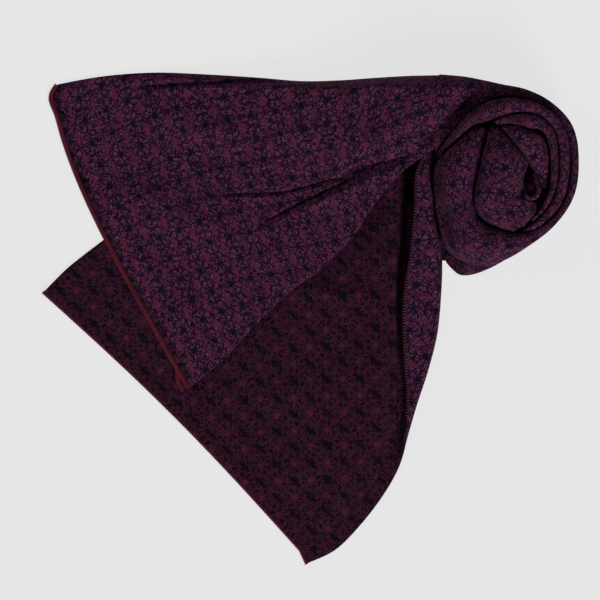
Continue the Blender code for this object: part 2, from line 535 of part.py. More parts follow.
def settle(wall):
    """Apply the modifiers, then let nothing reach below the floor."""
    graph = bpy.context.evaluated_depsgraph_get()
    solid = bpy.data.meshes.new_from_object(wall.evaluated_get(graph))
    wall.modifiers.clear()
    wall.data = solid
    for corner in solid.vertices:
        corner.co.z = max(corner.co.z, 0.0)
    solid.shade_smooth()


def hem_tube(name, spots, radius, finish, collection):
    """A rolled rim: a round tube along its middle line."""
    curve = bpy.data.curves.new(name, "CURVE")
    curve.dimensions = "3D"
    curve.bevel_depth = radius * MM
    curve.bevel_resolution = 2
    curve.use_fill_caps = True
    spline = curve.splines.new("POLY")
    spline.points.add(len(spots) - 1)
    for point, spot in zip(spline.points, spots):
        point.co = (*(MM * value for value in spot), 1.0)
    return place_object(name, curve, finish, collection)


def upper_rim(tucked):
    """Middle line of the upper end's rim, or of its tucked stretch, beside the cloth's edge."""
    row = UPPER_TAIL[0]
    length = hypot(row.fold_x - row.top_x, row.fold_y - row.top_y)
    first, last = (length - 0.5, length - row.tuck) if tucked else (0.0, length - 1.0)
    steps = TUCKED_RIM_STEPS if tucked else RIM_STEPS
    spots = []
    for k in range(steps + 1):
        distance = first + (last - first) * (k / steps) ** CORNER_EASE
        spot = upper_spot(row, distance)
        ahead, behind = upper_spot(row, distance + 1.5), upper_spot(row, distance - 1.5)
        along = (ahead - behind).normalized()
        outward = Vector((along.y, -along.x)) * (HEM_RADIUS + HEM_GAP)
        if tucked:
            peep = PEEP * (1.0 - smooth((length - distance - 0.5 * PEEP_RUN) / PEEP_RUN))
            spots.append((*(spot + outward.normalized() * (outward.length + peep)), TUCKED_RIM_Z))
        else:
            on_tuck = smooth((distance - length + row.tuck + RIM_LEAD) / RIM_CLIMB)
            resting = max(HEM_RADIUS, upper_height(row, distance) - RIM_SINK)
            height = resting + (RIM_ON_TUCK - resting) * on_tuck
            spots.append((*(spot + outward), height))
    return spots


def lower_rim():
    """Middle line of the lower end's rim, which lies below the cloth's edge."""
    edge = lower_section(LOWER_TAIL, 0.0)
    spots = []
    for k, spot in enumerate(edge):
        ahead, behind = edge[min(k + 1, len(edge) - 1)], edge[max(k - 1, 0)]
        along = Vector((ahead[0] - behind[0], ahead[1] - behind[1])).normalized()
        outward = Vector((along.y, -along.x)) * (RIM_SHOWS - TURNED_HEM_RADIUS)
        spots.append((spot[0] + outward.x, spot[1] + outward.y, TURNED_HEM_RADIUS))
    return spots


def ring_solid(name, rings):
    """A closed solid through rings of equal length, with its two ends filled."""
    count = len(rings[0])
    corners = [tuple(MM * value for value in point) for ring in rings for point in ring]
    faces = [tuple(reversed(range(count)))]
    for i in range(len(rings) - 1):
        for j in range(count):
            a, b = i * count + j, i * count + (j + 1) % count
            faces.append((a, b, b + count, a + count))
    faces.append(tuple(range((len(rings) - 1) * count, len(rings) * count)))
    mesh = bpy.data.meshes.new(name)
    mesh.from_pydata(corners, [], faces)
    mesh.validate()
    return mesh


def hidden_radius(angle):
    """Radius of the hidden layers' outline at a bearing in degrees."""
    bearings = [bearing.degrees for bearing in HIDDEN_OUTLINE]
    radii = [bearing.radius for bearing in HIDDEN_OUTLINE]
    return float(np.interp(angle, bearings + [360.0], radii + radii[:1]))


def hidden_layers(finish, collection, cutters):
    """The layers that stay hidden, as one rounded solid: below the roll and along its neck."""
    rings = []
    for ring in HIDDEN_SIDE:
        points = []
        for k in range(RING_POINTS):
            bearing = 360.0 * k / RING_POINTS
            radius = ring.share * hidden_radius(bearing)
            points.append((HIDDEN_MIDDLE[0] + radius * cos(radians(bearing)),
                           HIDDEN_MIDDLE[1] + radius * sin(radians(bearing)), ring.height))
        rings.append(points)
    solid = place_object("hidden_layers", ring_solid("hidden_layers", rings), finish, collection)

    sections = []
    for place in places(HIDDEN_NECK, NECK_POINTS + 1):
        row = row_at(HIDDEN_NECK, place)
        points = []
        for k in range(NECK_POINTS + 1):
            angle = pi * k / NECK_POINTS
            across = 0.5 * (1.0 - cos(angle))
            height = row.height * sin(angle) ** NECK_ROUND if 0 < k < NECK_POINTS else 0.0
            points.append((row.x, row.near_y + across * (row.far_y - row.near_y), height))
        sections.append(points)
    neck = place_object("neck", ring_solid("neck", sections), finish, cutters)
    neck.hide_render = True
    neck.display_type = "WIRE"

    joined = solid.modifiers.new("neck", "BOOLEAN")
    joined.operation = "UNION"
    joined.object = neck
    return solid


def swirl(finish, collection):
    """The tight swirl of folded edge at the heart of the roll: one rib that winds inwards."""
    curve = bpy.data.curves.new("roll_swirl", "CURVE")
    curve.dimensions = "3D"
    curve.bevel_depth = SWIRL_RIB * MM
    curve.bevel_resolution = 2
    curve.use_fill_caps = True
    spline = curve.splines.new("POLY")
    spline.points.add(SWIRL_STEPS)
    for k, point in enumerate(spline.points):
        share = k / SWIRL_STEPS
        angle = 2.0 * pi * SWIRL_TURNS * share + SWIRL_START
        radius = SWIRL_OUTER + (SWIRL_INNER - SWIRL_OUTER) * share
        height = SWIRL_Z[0] + (SWIRL_Z[1] - SWIRL_Z[0]) * share
        point.co = ((SWIRL_MIDDLE[0] + radius * cos(angle)) * MM,
                    (SWIRL_MIDDLE[1] + radius * sin(angle)) * MM, height * MM, 1.0)
    return place_object("roll_swirl", curve, finish, collection)


def turn_of_roll(name, rows, steps, finish, collection):
    """One turn of the roll, lofted through its table."""
    made = [arch_section(row_at(rows, place)) for place in places(rows, steps)]
    sections = [section for section, _ in made]
    return cloth_wall(name, sections, finish, collection, widths=[width for _, width in made])


def build():
    """Clear the scene and build the scarf."""
    for old in list(bpy.data.objects):
        bpy.data.objects.remove(old, do_unlink=True)
    parts = bpy.data.collections.new("knitted_scarf")
    cutters = bpy.data.collections.new("cutters")
    bpy.context.scene.collection.children.link(parts)
    bpy.context.scene.collection.children.link(cutters)

    right_side = material("knit_right_side", (0.032, 0.010, 0.024), 0.9)
    wrong_side = material("knit_wrong_side", (0.021, 0.006, 0.014), 0.9)
    rim = material("rolled_rim", (0.075, 0.013, 0.018), 0.85)

    upper = [upper_section(UPPER_TAIL, place) for place in places(UPPER_TAIL, UPPER_STEPS)]
    cloth_wall("upper_tail", upper, right_side, parts)
    beyond = places(LOWER_TAIL[1:], LOWER_STEPS)
    lower_places = [*LOWER_END_PLACES, *(1.0 + place for place in beyond)]
    lower = [lower_section(LOWER_TAIL, place) for place in lower_places]
    cloth_wall("lower_tail", lower, wrong_side, parts, flip=True)

    turn_of_roll("roll_outer_turn", OUTER_TURN, OUTER_STEPS, right_side, parts)
    turn_of_roll("roll_second_turn", SECOND_TURN, SECOND_STEPS, right_side, parts)
    turn_of_roll("roll_third_turn", THIRD_TURN, THIRD_STEPS, right_side, parts)
    turn_of_roll("roll_centre_panel", CENTRE_PANEL, PANEL_STEPS, right_side, parts)
    turn_of_roll("roll_inner_fold", INNER_FOLD, INNER_STEPS, right_side, parts)
    layer_places = places(LOWER_LAYER, LAYER_STEPS)
    layer = [layer_section(row_at(LOWER_LAYER, place)) for place in layer_places]
    cloth_wall("roll_lower_layer", layer, right_side, parts, flip=True)
    swirl(rim, parts)
    hidden_layers(right_side, parts, cutters)

    hem_tube("upper_end_hem", upper_rim(tucked=False), HEM_RADIUS, rim, parts)
    hem_tube("upper_end_hem_tucked", upper_rim(tucked=True), HEM_RADIUS, rim, parts)
    hem_tube("lower_end_hem", lower_rim(), TURNED_HEM_RADIUS, rim, parts)


build()
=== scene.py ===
"""Looks of the knitted scarf: jacquard cloth, rolled hems, edge stitches, pale floor and soft light.

The scarf lies on the floor, z = 0, with X to the right of the layout and Y away from the front.
Every stretch of cloth is a thin shell on the form of its CAD solid, lofted through the same short
tables at a finer step, with the listed creases pressed in. Tables and sizes are in millimetres.
A cloth map named "cloth" holds the panel's own flat position in metres: x across the width, y along
the length. The flowers, the stitches and the cut of each stretch are worked out from it.
"""

from __future__ import annotations

import logging
from dataclasses import dataclass
from enum import Enum
from math import cos, hypot, pi, radians, sin
from typing import NamedTuple, Sequence

import bpy
import numpy as np
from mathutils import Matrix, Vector

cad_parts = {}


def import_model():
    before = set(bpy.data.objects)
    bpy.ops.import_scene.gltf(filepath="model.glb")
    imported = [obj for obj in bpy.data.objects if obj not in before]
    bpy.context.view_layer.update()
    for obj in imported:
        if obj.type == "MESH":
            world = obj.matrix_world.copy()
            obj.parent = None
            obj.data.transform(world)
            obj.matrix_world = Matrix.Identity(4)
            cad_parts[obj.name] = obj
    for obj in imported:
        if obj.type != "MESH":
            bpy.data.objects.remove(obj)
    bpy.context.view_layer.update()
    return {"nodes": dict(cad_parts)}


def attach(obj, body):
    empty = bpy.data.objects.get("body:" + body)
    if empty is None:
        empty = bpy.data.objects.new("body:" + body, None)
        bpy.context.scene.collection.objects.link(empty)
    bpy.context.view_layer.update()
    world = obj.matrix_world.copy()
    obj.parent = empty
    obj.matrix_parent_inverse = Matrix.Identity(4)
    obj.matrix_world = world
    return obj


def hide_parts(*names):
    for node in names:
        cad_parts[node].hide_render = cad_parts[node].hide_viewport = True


LOG = logging.getLogger("knitted_scarf")

MM = 0.001
BODY = "root"
CLOTH_MAP = "cloth"

CLOTH = 2.0              # thickness of the double-faced knit
GAP = 0.5                # half the clearance between two stretches in the solids
HEM_RADIUS = 1.95
TURNED_HEM_RADIUS = 1.6
HEM_GAP = 0.35
RIM_SHOWS = 1.9
RIM_SINK = 1.3           # how far the turned rim presses into the cloth on it
ROUND = 1.15             # height of a rounded shoulder for each unit of its width
FULL_ROUND = 0.45        # what a broad shoulder that stands on the floor adds to that
TIP_WIDTH = 8.0          # a turn narrower than this has a thinner wall
BOW_LEAN = 0.62
ON_FLOOR, ON_LOWER_TAIL, ON_TUCK = 2.0, 4.9, 7.4
BEAD_SHARE, BEAD_RUN = 0.15, 0.35
EDGE_PITCH, EDGE_STRAND = 2.3, 0.45
FLAP_EDGE_RADIUS = 1.4
TURN_EDGE_RADIUS, TURN_EDGE_ROWS, TURN_EDGE_SHIFT = 2.2, 4.6, 0.04
SKIRT = 3.0              # how far a raised foot of the outer turn reaches into the layer below it
TUCK_DROOP = 17.0        # how far the tucked side hangs inside, where the tail rises to the roll
RIM_START = 1.5          # where the upper rim starts, from the corner
TAIL_LEAD, TAIL_DIP = 4.0, 1.2      # how the upper tail runs on below the outer turn
END_CALM = 0.8           # rows at a tail's end over which its creases fade out
DROOP_FROM, DROOP_RUN = 12.0, 12.0  # the lift of the fold over which it starts to hang
LOW_FOOT, LOW_FOOT_RUN = 20.0, 8.0  # a foot higher than this has no skirt
OFF_FLOOR, OFF_FLOOR_RUN = 1.0, 3.0  # and neither has one on the floor
JOIN_RUN = 1.2           # distance from the far side over which the joined form fades in
SEAM_START, SEAM_RUN = 7.9, 1.1     # rows over which the upper tail takes the outer turn's form
SEAM_ACROSS, SEAM_ALONG = 92.6, 289.8  # where the outer turn's crest starts on the panel
CORNER_BULGE, CORNER_AT, CORNER_RUN = 3.0, 8.0, 9.0
CORNER_INSET, CORNER_TURN = 1.2, 3.6
CORNER_BOW, CORNER_BOW_RUN = 10.0, 3.5  # only lines bowed more than this, near the end, bulge
RIPPLE, RIPPLE_X, RIPPLE_Y, RIPPLE_SHIFT = 0.35, 19.0, 23.0, 0.6


class Face(Enum):
    """The two faces of the jacquard."""

    RIGHT = "right side"
    WRONG = "wrong side"


class Upper(NamedTuple):
    """One line across the upper tail."""

    top_x: float
    top_y: float
    fold_x: float
    fold_y: float
    foot: float
    lift_far: float
    lift_fold: float
    slope: float
    tuck: float
    fold_r: float
    bow: float


class Lower(NamedTuple):
    """One line across the lower tail."""

    left_x: float
    left_y: float
    side_x: float
    side_y: float
    curl: float
    curl_r: float
    flap: float
    flap_z: float
    swell: float
    bow: float


class Turn(NamedTuple):
    """One line across a turn of the roll, from its outer side to its inner side."""

    out_x: float
    out_y: float
    in_x: float
    in_y: float
    foot_z: float
    tuck: float
    crest_at: float
    crest_z: float
    in_z: float


class Layer(NamedTuple):
    """One line across the folded layer below the outer turn."""

    out_x: float
    out_y: float
    in_x: float
    in_y: float
    height: float


class Crease(NamedTuple):
    """A soft trough along three points (a ridge has a negative depth), with a lip on its right."""

    start_x: float
    start_y: float
    mid_x: float
    mid_y: float
    end_x: float
    end_y: float
    depth: float
    width: float
    lip: float


UPPER_TAIL = [
    Upper(-193.5, 180.5, -91.6, -52.3, 2.0, 0.0, 2.0, 6.0, 40.0, 3.4, 13.5),
    Upper(-160.0, 187.0, -66.0, -31.0, 1.6, 1.0, 0.6, 6.0, 43.0, 2.7, 10.0),
    Upper(-120.0, 190.0, -41.0, -4.0, 0.5, 5.0, 0.4, 8.0, 48.0, 2.6, 6.0),
    Upper(-77.0, 188.5, -17.0, 19.0, 0.0, 10.0, 1.0, 9.0, 50.0, 2.7, 3.0),
    Upper(-38.0, 186.0, 3.0, 34.0, 0.0, 15.0, 3.0, 9.0, 46.0, 2.9, 1.0),
    Upper(-7.0, 183.5, 19.0, 48.0, 0.0, 20.0, 6.5, 9.0, 42.0, 3.2, 0.0),
    Upper(22.0, 184.0, 34.0, 64.0, 0.0, 26.0, 11.0, 9.0, 36.0, 3.5, 0.0),
    Upper(51.0, 186.0, 51.5, 90.0, 0.0, 33.0, 18.0, 9.0, 30.0, 3.8, 0.0),
    Upper(77.0, 187.5, 72.0, 113.5, 0.0, 40.0, 26.0, 10.0, 22.0, 4.0, 0.0),
    Upper(101.6, 188.0, 96.6, 130.8, 0.0, 45.0, 33.0, 10.0, 12.0, 4.0, 0.0),
]

LOWER_TAIL = [
    Lower(-205.0, 20.8, -2.0, -188.5, 0.0, 2.9, 2.5, 5.8, 0.0, 4.7),
    Lower(-188.0, 38.0, 20.0, -178.0, 0.0, 2.9, 2.5, 5.8, 0.0, 2.5),
    Lower(-172.0, 51.0, 40.0, -158.0, 0.0, 2.9, 2.5, 5.8, 0.0, 0.5),
    Lower(-155.0, 64.0, 57.5, -135.0, 0.0, 2.9, 2.5, 5.8, 0.0, 0.0),
    Lower(-136.0, 80.0, 69.5, -113.0, 25.0, 2.9, 2.5, 5.8, 0.0, 0.0),
    Lower(-115.0, 95.0, 76.0, -90.0, 120.0, 2.9, 2.5, 5.8, 0.0, 0.0),
    Lower(-92.0, 108.0, 83.0, -66.0, 180.0, 2.9, 4.5, 6.0, 0.0, 0.0),
    Lower(-68.0, 118.0, 91.5, -40.0, 180.0, 3.2, 15.0, 7.0, 0.0, 0.0),
    Lower(-42.0, 125.0, 98.5, -12.0, 180.0, 3.6, 22.5, 8.5, 0.5, 0.0),
    Lower(-15.0, 128.0, 101.5, 18.0, 180.0, 4.4, 23.5, 11.0, 1.5, 0.0),
    Lower(12.0, 128.5, 102.3, 46.0, 180.0, 5.2, 19.5, 15.5, 3.0, 0.0),
    Lower(34.0, 129.0, 99.5, 70.0, 180.0, 6.0, 13.5, 20.0, 5.0, 0.0),
    Lower(50.0, 129.5, 96.0, 92.0, 180.0, 6.3, 8.0, 24.0, 7.0, 0.0),
    Lower(60.0, 130.5, 94.0, 110.0, 180.0, 6.0, 5.5, 26.5, 8.0, 0.0),
    Lower(69.0, 134.0, 98.4, 127.4, 180.0, 5.5, 3.5, 29.0, 7.0, 0.0),
]

OUTER_TURN = [
    Turn(103.0, 188.0, 99.4, 132.4, 0.0, 1.0, 0.20, 47.5, 39.0),
    Turn(119.0, 186.5, 110.3, 145.5, 0.0, 2.0, 0.26, 48.5, 39.0),
    Turn(134.0, 183.7, 121.5, 157.0, 0.0, 3.0, 0.36, 49.0, 39.5),
    Turn(149.0, 180.3, 139.0, 168.0, 0.0, 3.5, 0.45, 48.0, 40.0),
    Turn(165.0, 177.0, 161.3, 170.5, 0.0, 3.5, 0.50, 47.0, 40.0),
    Turn(180.5, 170.2, 176.4, 165.6, 0.0, 3.5, 0.50, 46.0, 40.0),
    Turn(193.0, 160.5, 187.9, 157.9, 0.0, 3.5, 0.50, 46.0, 40.0),
    Turn(201.3, 150.0, 195.3, 148.6, 0.0, 3.5, 0.50, 46.0, 40.0),
    Turn(205.6, 137.5, 198.6, 136.5, 0.0, 3.5, 0.50, 46.0, 40.0),
    Turn(206.9, 122.5, 200.0, 122.5, 0.0, 3.5, 0.50, 46.0, 40.0),
    Turn(206.2, 107.0, 199.4, 108.0, 0.0, 3.5, 0.50, 46.0, 40.0),
    Turn(202.8, 93.5, 196.4, 95.5, 0.0, 3.5, 0.50, 46.5, 40.0),
    Turn(195.3, 80.3, 190.5, 83.8, 0.0, 3.5, 0.52, 47.0, 40.0),
    Turn(184.0, 67.7, 180.4, 73.9, 0.0, 3.5, 0.56, 48.0, 40.0),
    Turn(169.5, 56.8, 169.0, 66.8, 0.0, 3.5, 0.60, 49.0, 40.0),
    Turn(153.7, 47.0, 157.0, 66.0, 5.0, 2.0, 0.66, 50.0, 40.0),
    Turn(137.5, 41.0, 146.0, 68.7, 11.0, 1.0, 0.68, 51.5, 40.0),
    Turn(122.0, 42.5, 136.0, 72.7, 11.0, 1.0, 0.66, 53.0, 40.0),
    Turn(105.2, 53.2, 129.0, 79.0, 8.0, 2.0, 0.62, 54.0, 40.0),
    Turn(101.0, 66.0, 126.3, 86.0, 0.0, 4.0, 0.60, 55.0, 40.0),
    Turn(96.7, 86.0, 126.0, 95.0, 0.0, 5.0, 0.58, 56.0, 40.0),
    Turn(94.3, 104.0, 127.8, 104.0, 0.0, 5.0, 0.58, 57.0, 40.0),
    Turn(95.6, 117.0, 130.3, 113.5, 2.0, 4.5, 0.56, 57.0, 40.0),
    Turn(102.5, 126.3, 132.3, 122.5, 32.0, 0.0, 0.55, 56.0, 40.0),
    Turn(111.0, 134.4, 134.0, 130.8, 40.0, 0.0, 0.52, 54.0, 40.0),
    Turn(120.5, 144.1, 136.8, 138.5, 40.0, 0.0, 0.50, 51.0, 40.0),
    Turn(129.5, 149.6, 138.6, 144.5, 40.0, 0.0, 0.50, 48.0, 40.0),
]
SECOND_TURN = [
    Turn(99.8, 131.2, 102.3, 126.3, 37.5, 0.0, 0.50, 41.5, 37.5),
    Turn(106.0, 139.6, 109.5, 133.3, 40.0, 0.0, 0.45, 47.0, 40.0),
    Turn(114.0, 149.3, 118.0, 142.5, 40.0, 0.0, 0.40, 52.5, 40.0),
    Turn(123.5, 159.0, 126.5, 149.6, 40.0, 0.0, 0.40, 56.5, 41.0),
    Turn(136.8, 166.9, 134.5, 151.3, 40.0, 0.0, 0.36, 58.5, 44.0),
    Turn(148.9, 169.6, 146.3, 155.3, 40.0, 0.0, 0.36, 59.5, 47.0),
    Turn(162.0, 169.6, 159.8, 158.6, 40.0, 0.0, 0.38, 60.0, 49.0),
    Turn(176.0, 165.7, 171.8, 158.3, 40.0, 0.0, 0.42, 60.0, 47.0),
    Turn(187.8, 157.9, 182.1, 152.9, 40.0, 0.0, 0.46, 60.0, 45.0),
    Turn(195.9, 147.0, 188.2, 144.8, 40.0, 0.0, 0.48, 59.5, 43.0),
    Turn(199.2, 135.0, 190.9, 135.0, 40.0, 0.0, 0.50, 59.0, 42.0),
    Turn(199.9, 122.5, 191.8, 123.5, 40.0, 0.0, 0.50, 58.5, 42.0),
    Turn(199.2, 108.5, 191.6, 110.5, 40.0, 0.0, 0.50, 58.0, 42.0),
    Turn(196.6, 96.2, 189.2, 97.3, 40.0, 0.0, 0.50, 57.0, 42.0),
    Turn(191.0, 84.8, 184.5, 87.0, 40.0, 0.0, 0.50, 55.0, 41.0),
    Turn(181.7, 75.0, 177.3, 78.3, 40.0, 0.0, 0.50, 52.0, 40.0),
    Turn(172.3, 68.4, 170.0, 73.0, 40.0, 0.0, 0.50, 48.0, 40.0),
    Turn(164.4, 66.2, 163.6, 69.8, 40.0, 0.0, 0.50, 45.0, 40.0),
]
THIRD_TURN = [
    Turn(141.0, 152.5, 144.3, 148.3, 42.0, 0.0, 0.50, 50.0, 42.0),
    Turn(149.8, 156.2, 152.8, 149.8, 45.0, 0.0, 0.50, 55.5, 44.0),
    Turn(160.0, 158.1, 161.2, 148.0, 47.0, 0.0, 0.50, 58.0, 44.0),
    Turn(169.3, 158.4, 168.8, 146.0, 47.0, 0.0, 0.50, 59.0, 43.0),
    Turn(178.8, 155.4, 175.5, 145.6, 45.0, 0.0, 0.50, 58.5, 42.0),
    Turn(186.4, 147.8, 180.8, 141.4, 43.0, 0.0, 0.50, 58.0, 41.0),
    Turn(190.2, 137.8, 183.6, 132.0, 42.0, 0.0, 0.50, 57.0, 40.0),
    Turn(191.3, 125.0, 184.9, 120.5, 42.0, 0.0, 0.50, 56.0, 40.0),
    Turn(191.5, 110.5, 185.0, 107.8, 42.0, 0.0, 0.50, 55.0, 40.0),
    Turn(189.1, 97.4, 183.2, 96.6, 42.0, 0.0, 0.50, 54.0, 40.0),
    Turn(184.4, 87.2, 179.0, 88.6, 41.0, 0.0, 0.50, 52.0, 40.0),
    Turn(177.0, 78.4, 174.2, 81.6, 40.0, 0.0, 0.50, 49.0, 40.0),
    Turn(171.3, 74.0, 169.6, 77.2, 40.0, 0.0, 0.50, 46.5, 40.0),
]
CENTRE_PANEL = [
    Turn(139.8, 147.2, 143.4, 147.0, 41.0, 0.0, 0.50, 48.5, 41.0),
    Turn(138.6, 140.2, 148.6, 143.0, 40.0, 0.0, 0.45, 54.0, 42.0),
    Turn(136.4, 132.6, 154.8, 136.2, 40.0, 0.0, 0.42, 58.5, 43.0),
    Turn(134.3, 125.2, 161.0, 128.2, 40.0, 0.0, 0.42, 61.0, 44.0),
    Turn(132.8, 117.0, 166.0, 120.0, 40.0, 0.0, 0.42, 62.5, 44.0),
    Turn(130.4, 108.4, 163.2, 110.6, 40.0, 0.0, 0.44, 63.0, 46.0),
    Turn(128.6, 100.2, 162.6, 101.6, 40.0, 0.0, 0.46, 62.5, 47.0),
    Turn(127.6, 92.2, 162.6, 93.0, 40.0, 0.0, 0.46, 61.5, 46.0),
    Turn(128.9, 84.9, 170.8, 89.6, 40.0, 0.0, 0.44, 60.0, 43.0),
    Turn(132.8, 79.6, 172.8, 84.4, 40.0, 0.0, 0.46, 57.5, 41.0),
    Turn(140.0, 74.6, 169.8, 79.8, 40.0, 0.0, 0.48, 55.0, 40.0),
    Turn(148.8, 71.0, 166.6, 76.0, 40.0, 0.0, 0.50, 52.0, 40.0),
    Turn(157.0, 69.0, 163.6, 72.2, 40.0, 0.0, 0.50, 48.5, 40.0),
]
INNER_FOLD = [
    Turn(147.4, 147.4, 151.0, 148.4, 43.0, 0.0, 0.50, 50.0, 43.0),
    Turn(152.8, 143.4, 158.8, 146.8, 43.0, 0.0, 0.50, 55.5, 43.0),
    Turn(158.6, 137.0, 167.3, 144.0, 43.0, 0.0, 0.50, 58.5, 42.0),
    Turn(163.6, 130.6, 174.6, 141.6, 43.0, 0.0, 0.46, 59.0, 41.0),
    Turn(168.2, 123.4, 180.6, 133.4, 43.0, 0.0, 0.44, 56.5, 40.0),
    Turn(172.6, 115.8, 182.8, 120.5, 41.0, 0.0, 0.44, 51.0, 40.0),
    Turn(176.4, 108.8, 183.0, 110.0, 40.0, 0.0, 0.46, 47.5, 40.0),
    Turn(178.6, 101.4, 182.2, 100.0, 40.0, 0.0, 0.50, 46.0, 40.0),
]
LOWER_LAYER = [
    Layer(103.4, 49.6, 111.6, 57.0, 5.6),
    Layer(104.8, 44.8, 113.6, 56.0, 6.4),
    Layer(109.0, 39.4, 117.0, 55.0, 7.6),
    Layer(116.0, 34.0, 123.0, 53.5, 9.4),
    Layer(126.0, 34.3, 130.5, 53.0, 10.5),
    Layer(138.0, 38.6, 140.5, 53.5, 10.0),
    Layer(149.0, 44.4, 150.0, 55.0, 5.4),
]

# The folded-in edge at the heart of the roll, which hooks round the dark eye
HEART_FOLD = [
    Turn(173.6, 113.4, 170.6, 112.0, 46.0, 0.0, 0.50, 50.0, 46.0),
    Turn(175.8, 107.6, 172.0, 106.8, 46.0, 0.0, 0.50, 53.0, 46.0),
    Turn(177.8, 101.6, 173.6, 101.4, 46.0, 0.0, 0.50, 55.0, 46.0),
    Turn(177.4, 96.0, 173.2, 97.2, 46.0, 0.0, 0.50, 56.0, 46.0),
    Turn(174.4, 92.0, 171.8, 95.2, 46.0, 0.0, 0.50, 56.4, 46.0),
    Turn(169.4, 90.8, 169.4, 94.8, 46.0, 0.0, 0.50, 56.4, 46.0),
    Turn(165.0, 92.8, 167.4, 96.0, 46.0, 0.0, 0.50, 56.0, 46.0),
    Turn(163.4, 97.0, 166.8, 98.4, 46.0, 0.0, 0.50, 55.0, 46.0),
    Turn(163.8, 101.2, 166.8, 100.6, 46.0, 0.0, 0.50, 52.0, 46.0),
]

# Creases of the neck, which run on over the seam between the upper tail and the outer turn
NECK_CREASES = [
    Crease(72.0, 126.0, 104.0, 150.0, 142.0, 177.0, 6.0, 7.0, 0.0),
    Crease(40.0, 142.0, 92.0, 163.0, 132.0, 188.0, -3.2, 9.0, 0.0),
]
UPPER_CREASES = NECK_CREASES + [
    Crease(-52.0, 66.0, 10.0, 96.0, 64.0, 122.0, 5.0, 2.0, 1.9),
    Crease(-40.0, 82.0, 12.0, 107.0, 60.0, 128.0, 3.4, 8.0, 0.0),
    Crease(22.0, 108.0, 56.0, 120.0, 104.0, 130.0, 6.0, 4.0, 1.0),
    Crease(-92.0, 95.0, -22.0, 97.0, 40.0, 112.0, 3.4, 1.4, 1.3),
    Crease(-80.0, 104.0, -24.0, 105.5, 26.0, 117.0, 2.4, 7.0, 0.0),
    Crease(-56.0, 115.0, -14.0, 112.0, 28.0, 108.0, 1.6, 2.6, 0.5),
    Crease(-156.0, 106.0, -104.0, 78.0, -34.0, 58.0, -7.0, 15.0, 0.0),
    Crease(-112.0, 126.0, -66.0, 104.0, -28.0, 113.0, -4.0, 9.0, 0.0),
    Crease(-136.0, 162.0, -88.0, 146.0, -36.0, 140.0, -5.4, 11.0, 0.0),
    Crease(-44.0, 148.0, 10.0, 136.0, 74.0, 142.0, -4.4, 13.0, 0.0),
    Crease(-150.0, 178.6, -74.0, 181.2, 14.0, 184.4, 6.0, 1.6, 1.4),
    Crease(-150.0, 52.0, -116.0, 32.0, -92.0, 2.0, -2.4, 12.0, 0.0),
    Crease(-64.0, 40.0, -34.0, 50.0, 0.0, 70.0, -2.6, 9.0, 0.0),
]
LOWER_CREASES = [
    Crease(68.0, 230.0, 58.0, 20.0, 55.0, -180.0, -6.0, 15.0, 0.0),
    Crease(80.0, 230.0, 70.5, 20.0, 68.5, -180.0, 8.0, 4.6, 0.0),
    Crease(-34.0, 24.0, 12.0, 19.0, 62.0, 15.0, -4.2, 6.0, 0.0),
    Crease(-30.0, 11.0, 12.0, 8.0, 54.0, 4.0, -1.6, 6.0, 0.0),
    Crease(18.0, 84.0, 50.0, 62.0, 70.0, 42.0, -5.0, 13.0, 0.0),
    Crease(24.0, 80.0, 50.0, 62.0, 72.0, 46.0, 5.6, 4.2, 0.0),
    Crease(-60.0, -128.0, -10.0, -118.0, 36.0, -92.0, -3.0, 15.0, 0.0),
    Crease(-170.0, 30.0, -124.0, -6.0, -86.0, -46.0, -3.0, 13.0, 0.0),
    Crease(-60.0, -60.0, 10.0, -56.0, 64.0, -30.0, -3.2, 16.0, 0.0),
    Crease(-6.0, -176.0, 16.0, -146.0, 34.0, -108.0, -3.4, 8.0, 0.0),
]
ROLL_CREASES = NECK_CREASES + [
    Crease(90.0, 146.0, 96.0, 96.0, 116.0, 46.0, 15.0, 5.0, 0.0),
    Crease(98.0, 92.0, 108.0, 74.0, 124.0, 56.0, 4.0, 5.0, 0.0),
    Crease(118.0, 176.0, 140.0, 178.0, 164.0, 173.0, 1.4, 5.0, 0.0),
    Crease(100.0, 106.0, 110.0, 92.0, 121.0, 84.0, 1.8, 6.0, 0.0),
    Crease(112.0, 122.0, 119.0, 106.0, 124.0, 90.0, 1.5, 7.0, 0.0),
    Crease(118.0, 60.0, 138.0, 58.0, 160.0, 60.0, -1.2, 8.0, 0.0),
    Crease(104.0, 62.0, 116.0, 66.0, 128.0, 62.0, 1.2, 6.0, 0.0),
    Crease(134.0, 98.0, 146.0, 88.0, 160.0, 84.0, 1.5, 7.0, 0.0),
    Crease(138.0, 128.0, 147.0, 114.0, 150.0, 98.0, -1.2, 8.0, 0.0),
    Crease(150.0, 96.0, 160.0, 98.0, 166.0, 94.0, 1.6, 4.5, 0.0),
]


def ease(value: np.ndarray | float) -> np.ndarray | float:
    """Ease from 0 to 1 while value runs from 0 to 1.

    Args:
        value: the value to ease.

    Returns:
        The eased value.
    """
    held = np.clip(value, 0.0, 1.0)
    return held * held * (3.0 - 2.0 * held)


def row_at(rows: Sequence[NamedTuple], place: float) -> NamedTuple:
    """Read a table on a smooth curve through its rows.

    Args:
        rows: the table.
        place: the row's number, with a fraction between two rows.

    Returns:
        A row of the same kind.
    """
    last = len(rows) - 1
    i = min(int(place), last - 1)
    f = place - i
    before, start, end, after = (
        np.array(rows[min(max(k, 0), last)], float) for k in (i - 1, i, i + 1, i + 2))
    curve = (start + 0.5 * f * (end - before
                                + f * (2 * before - 5 * start + 4 * end - after
                                       + f * (3 * (start - end) + after - before))))
    return type(rows[0])(*curve)


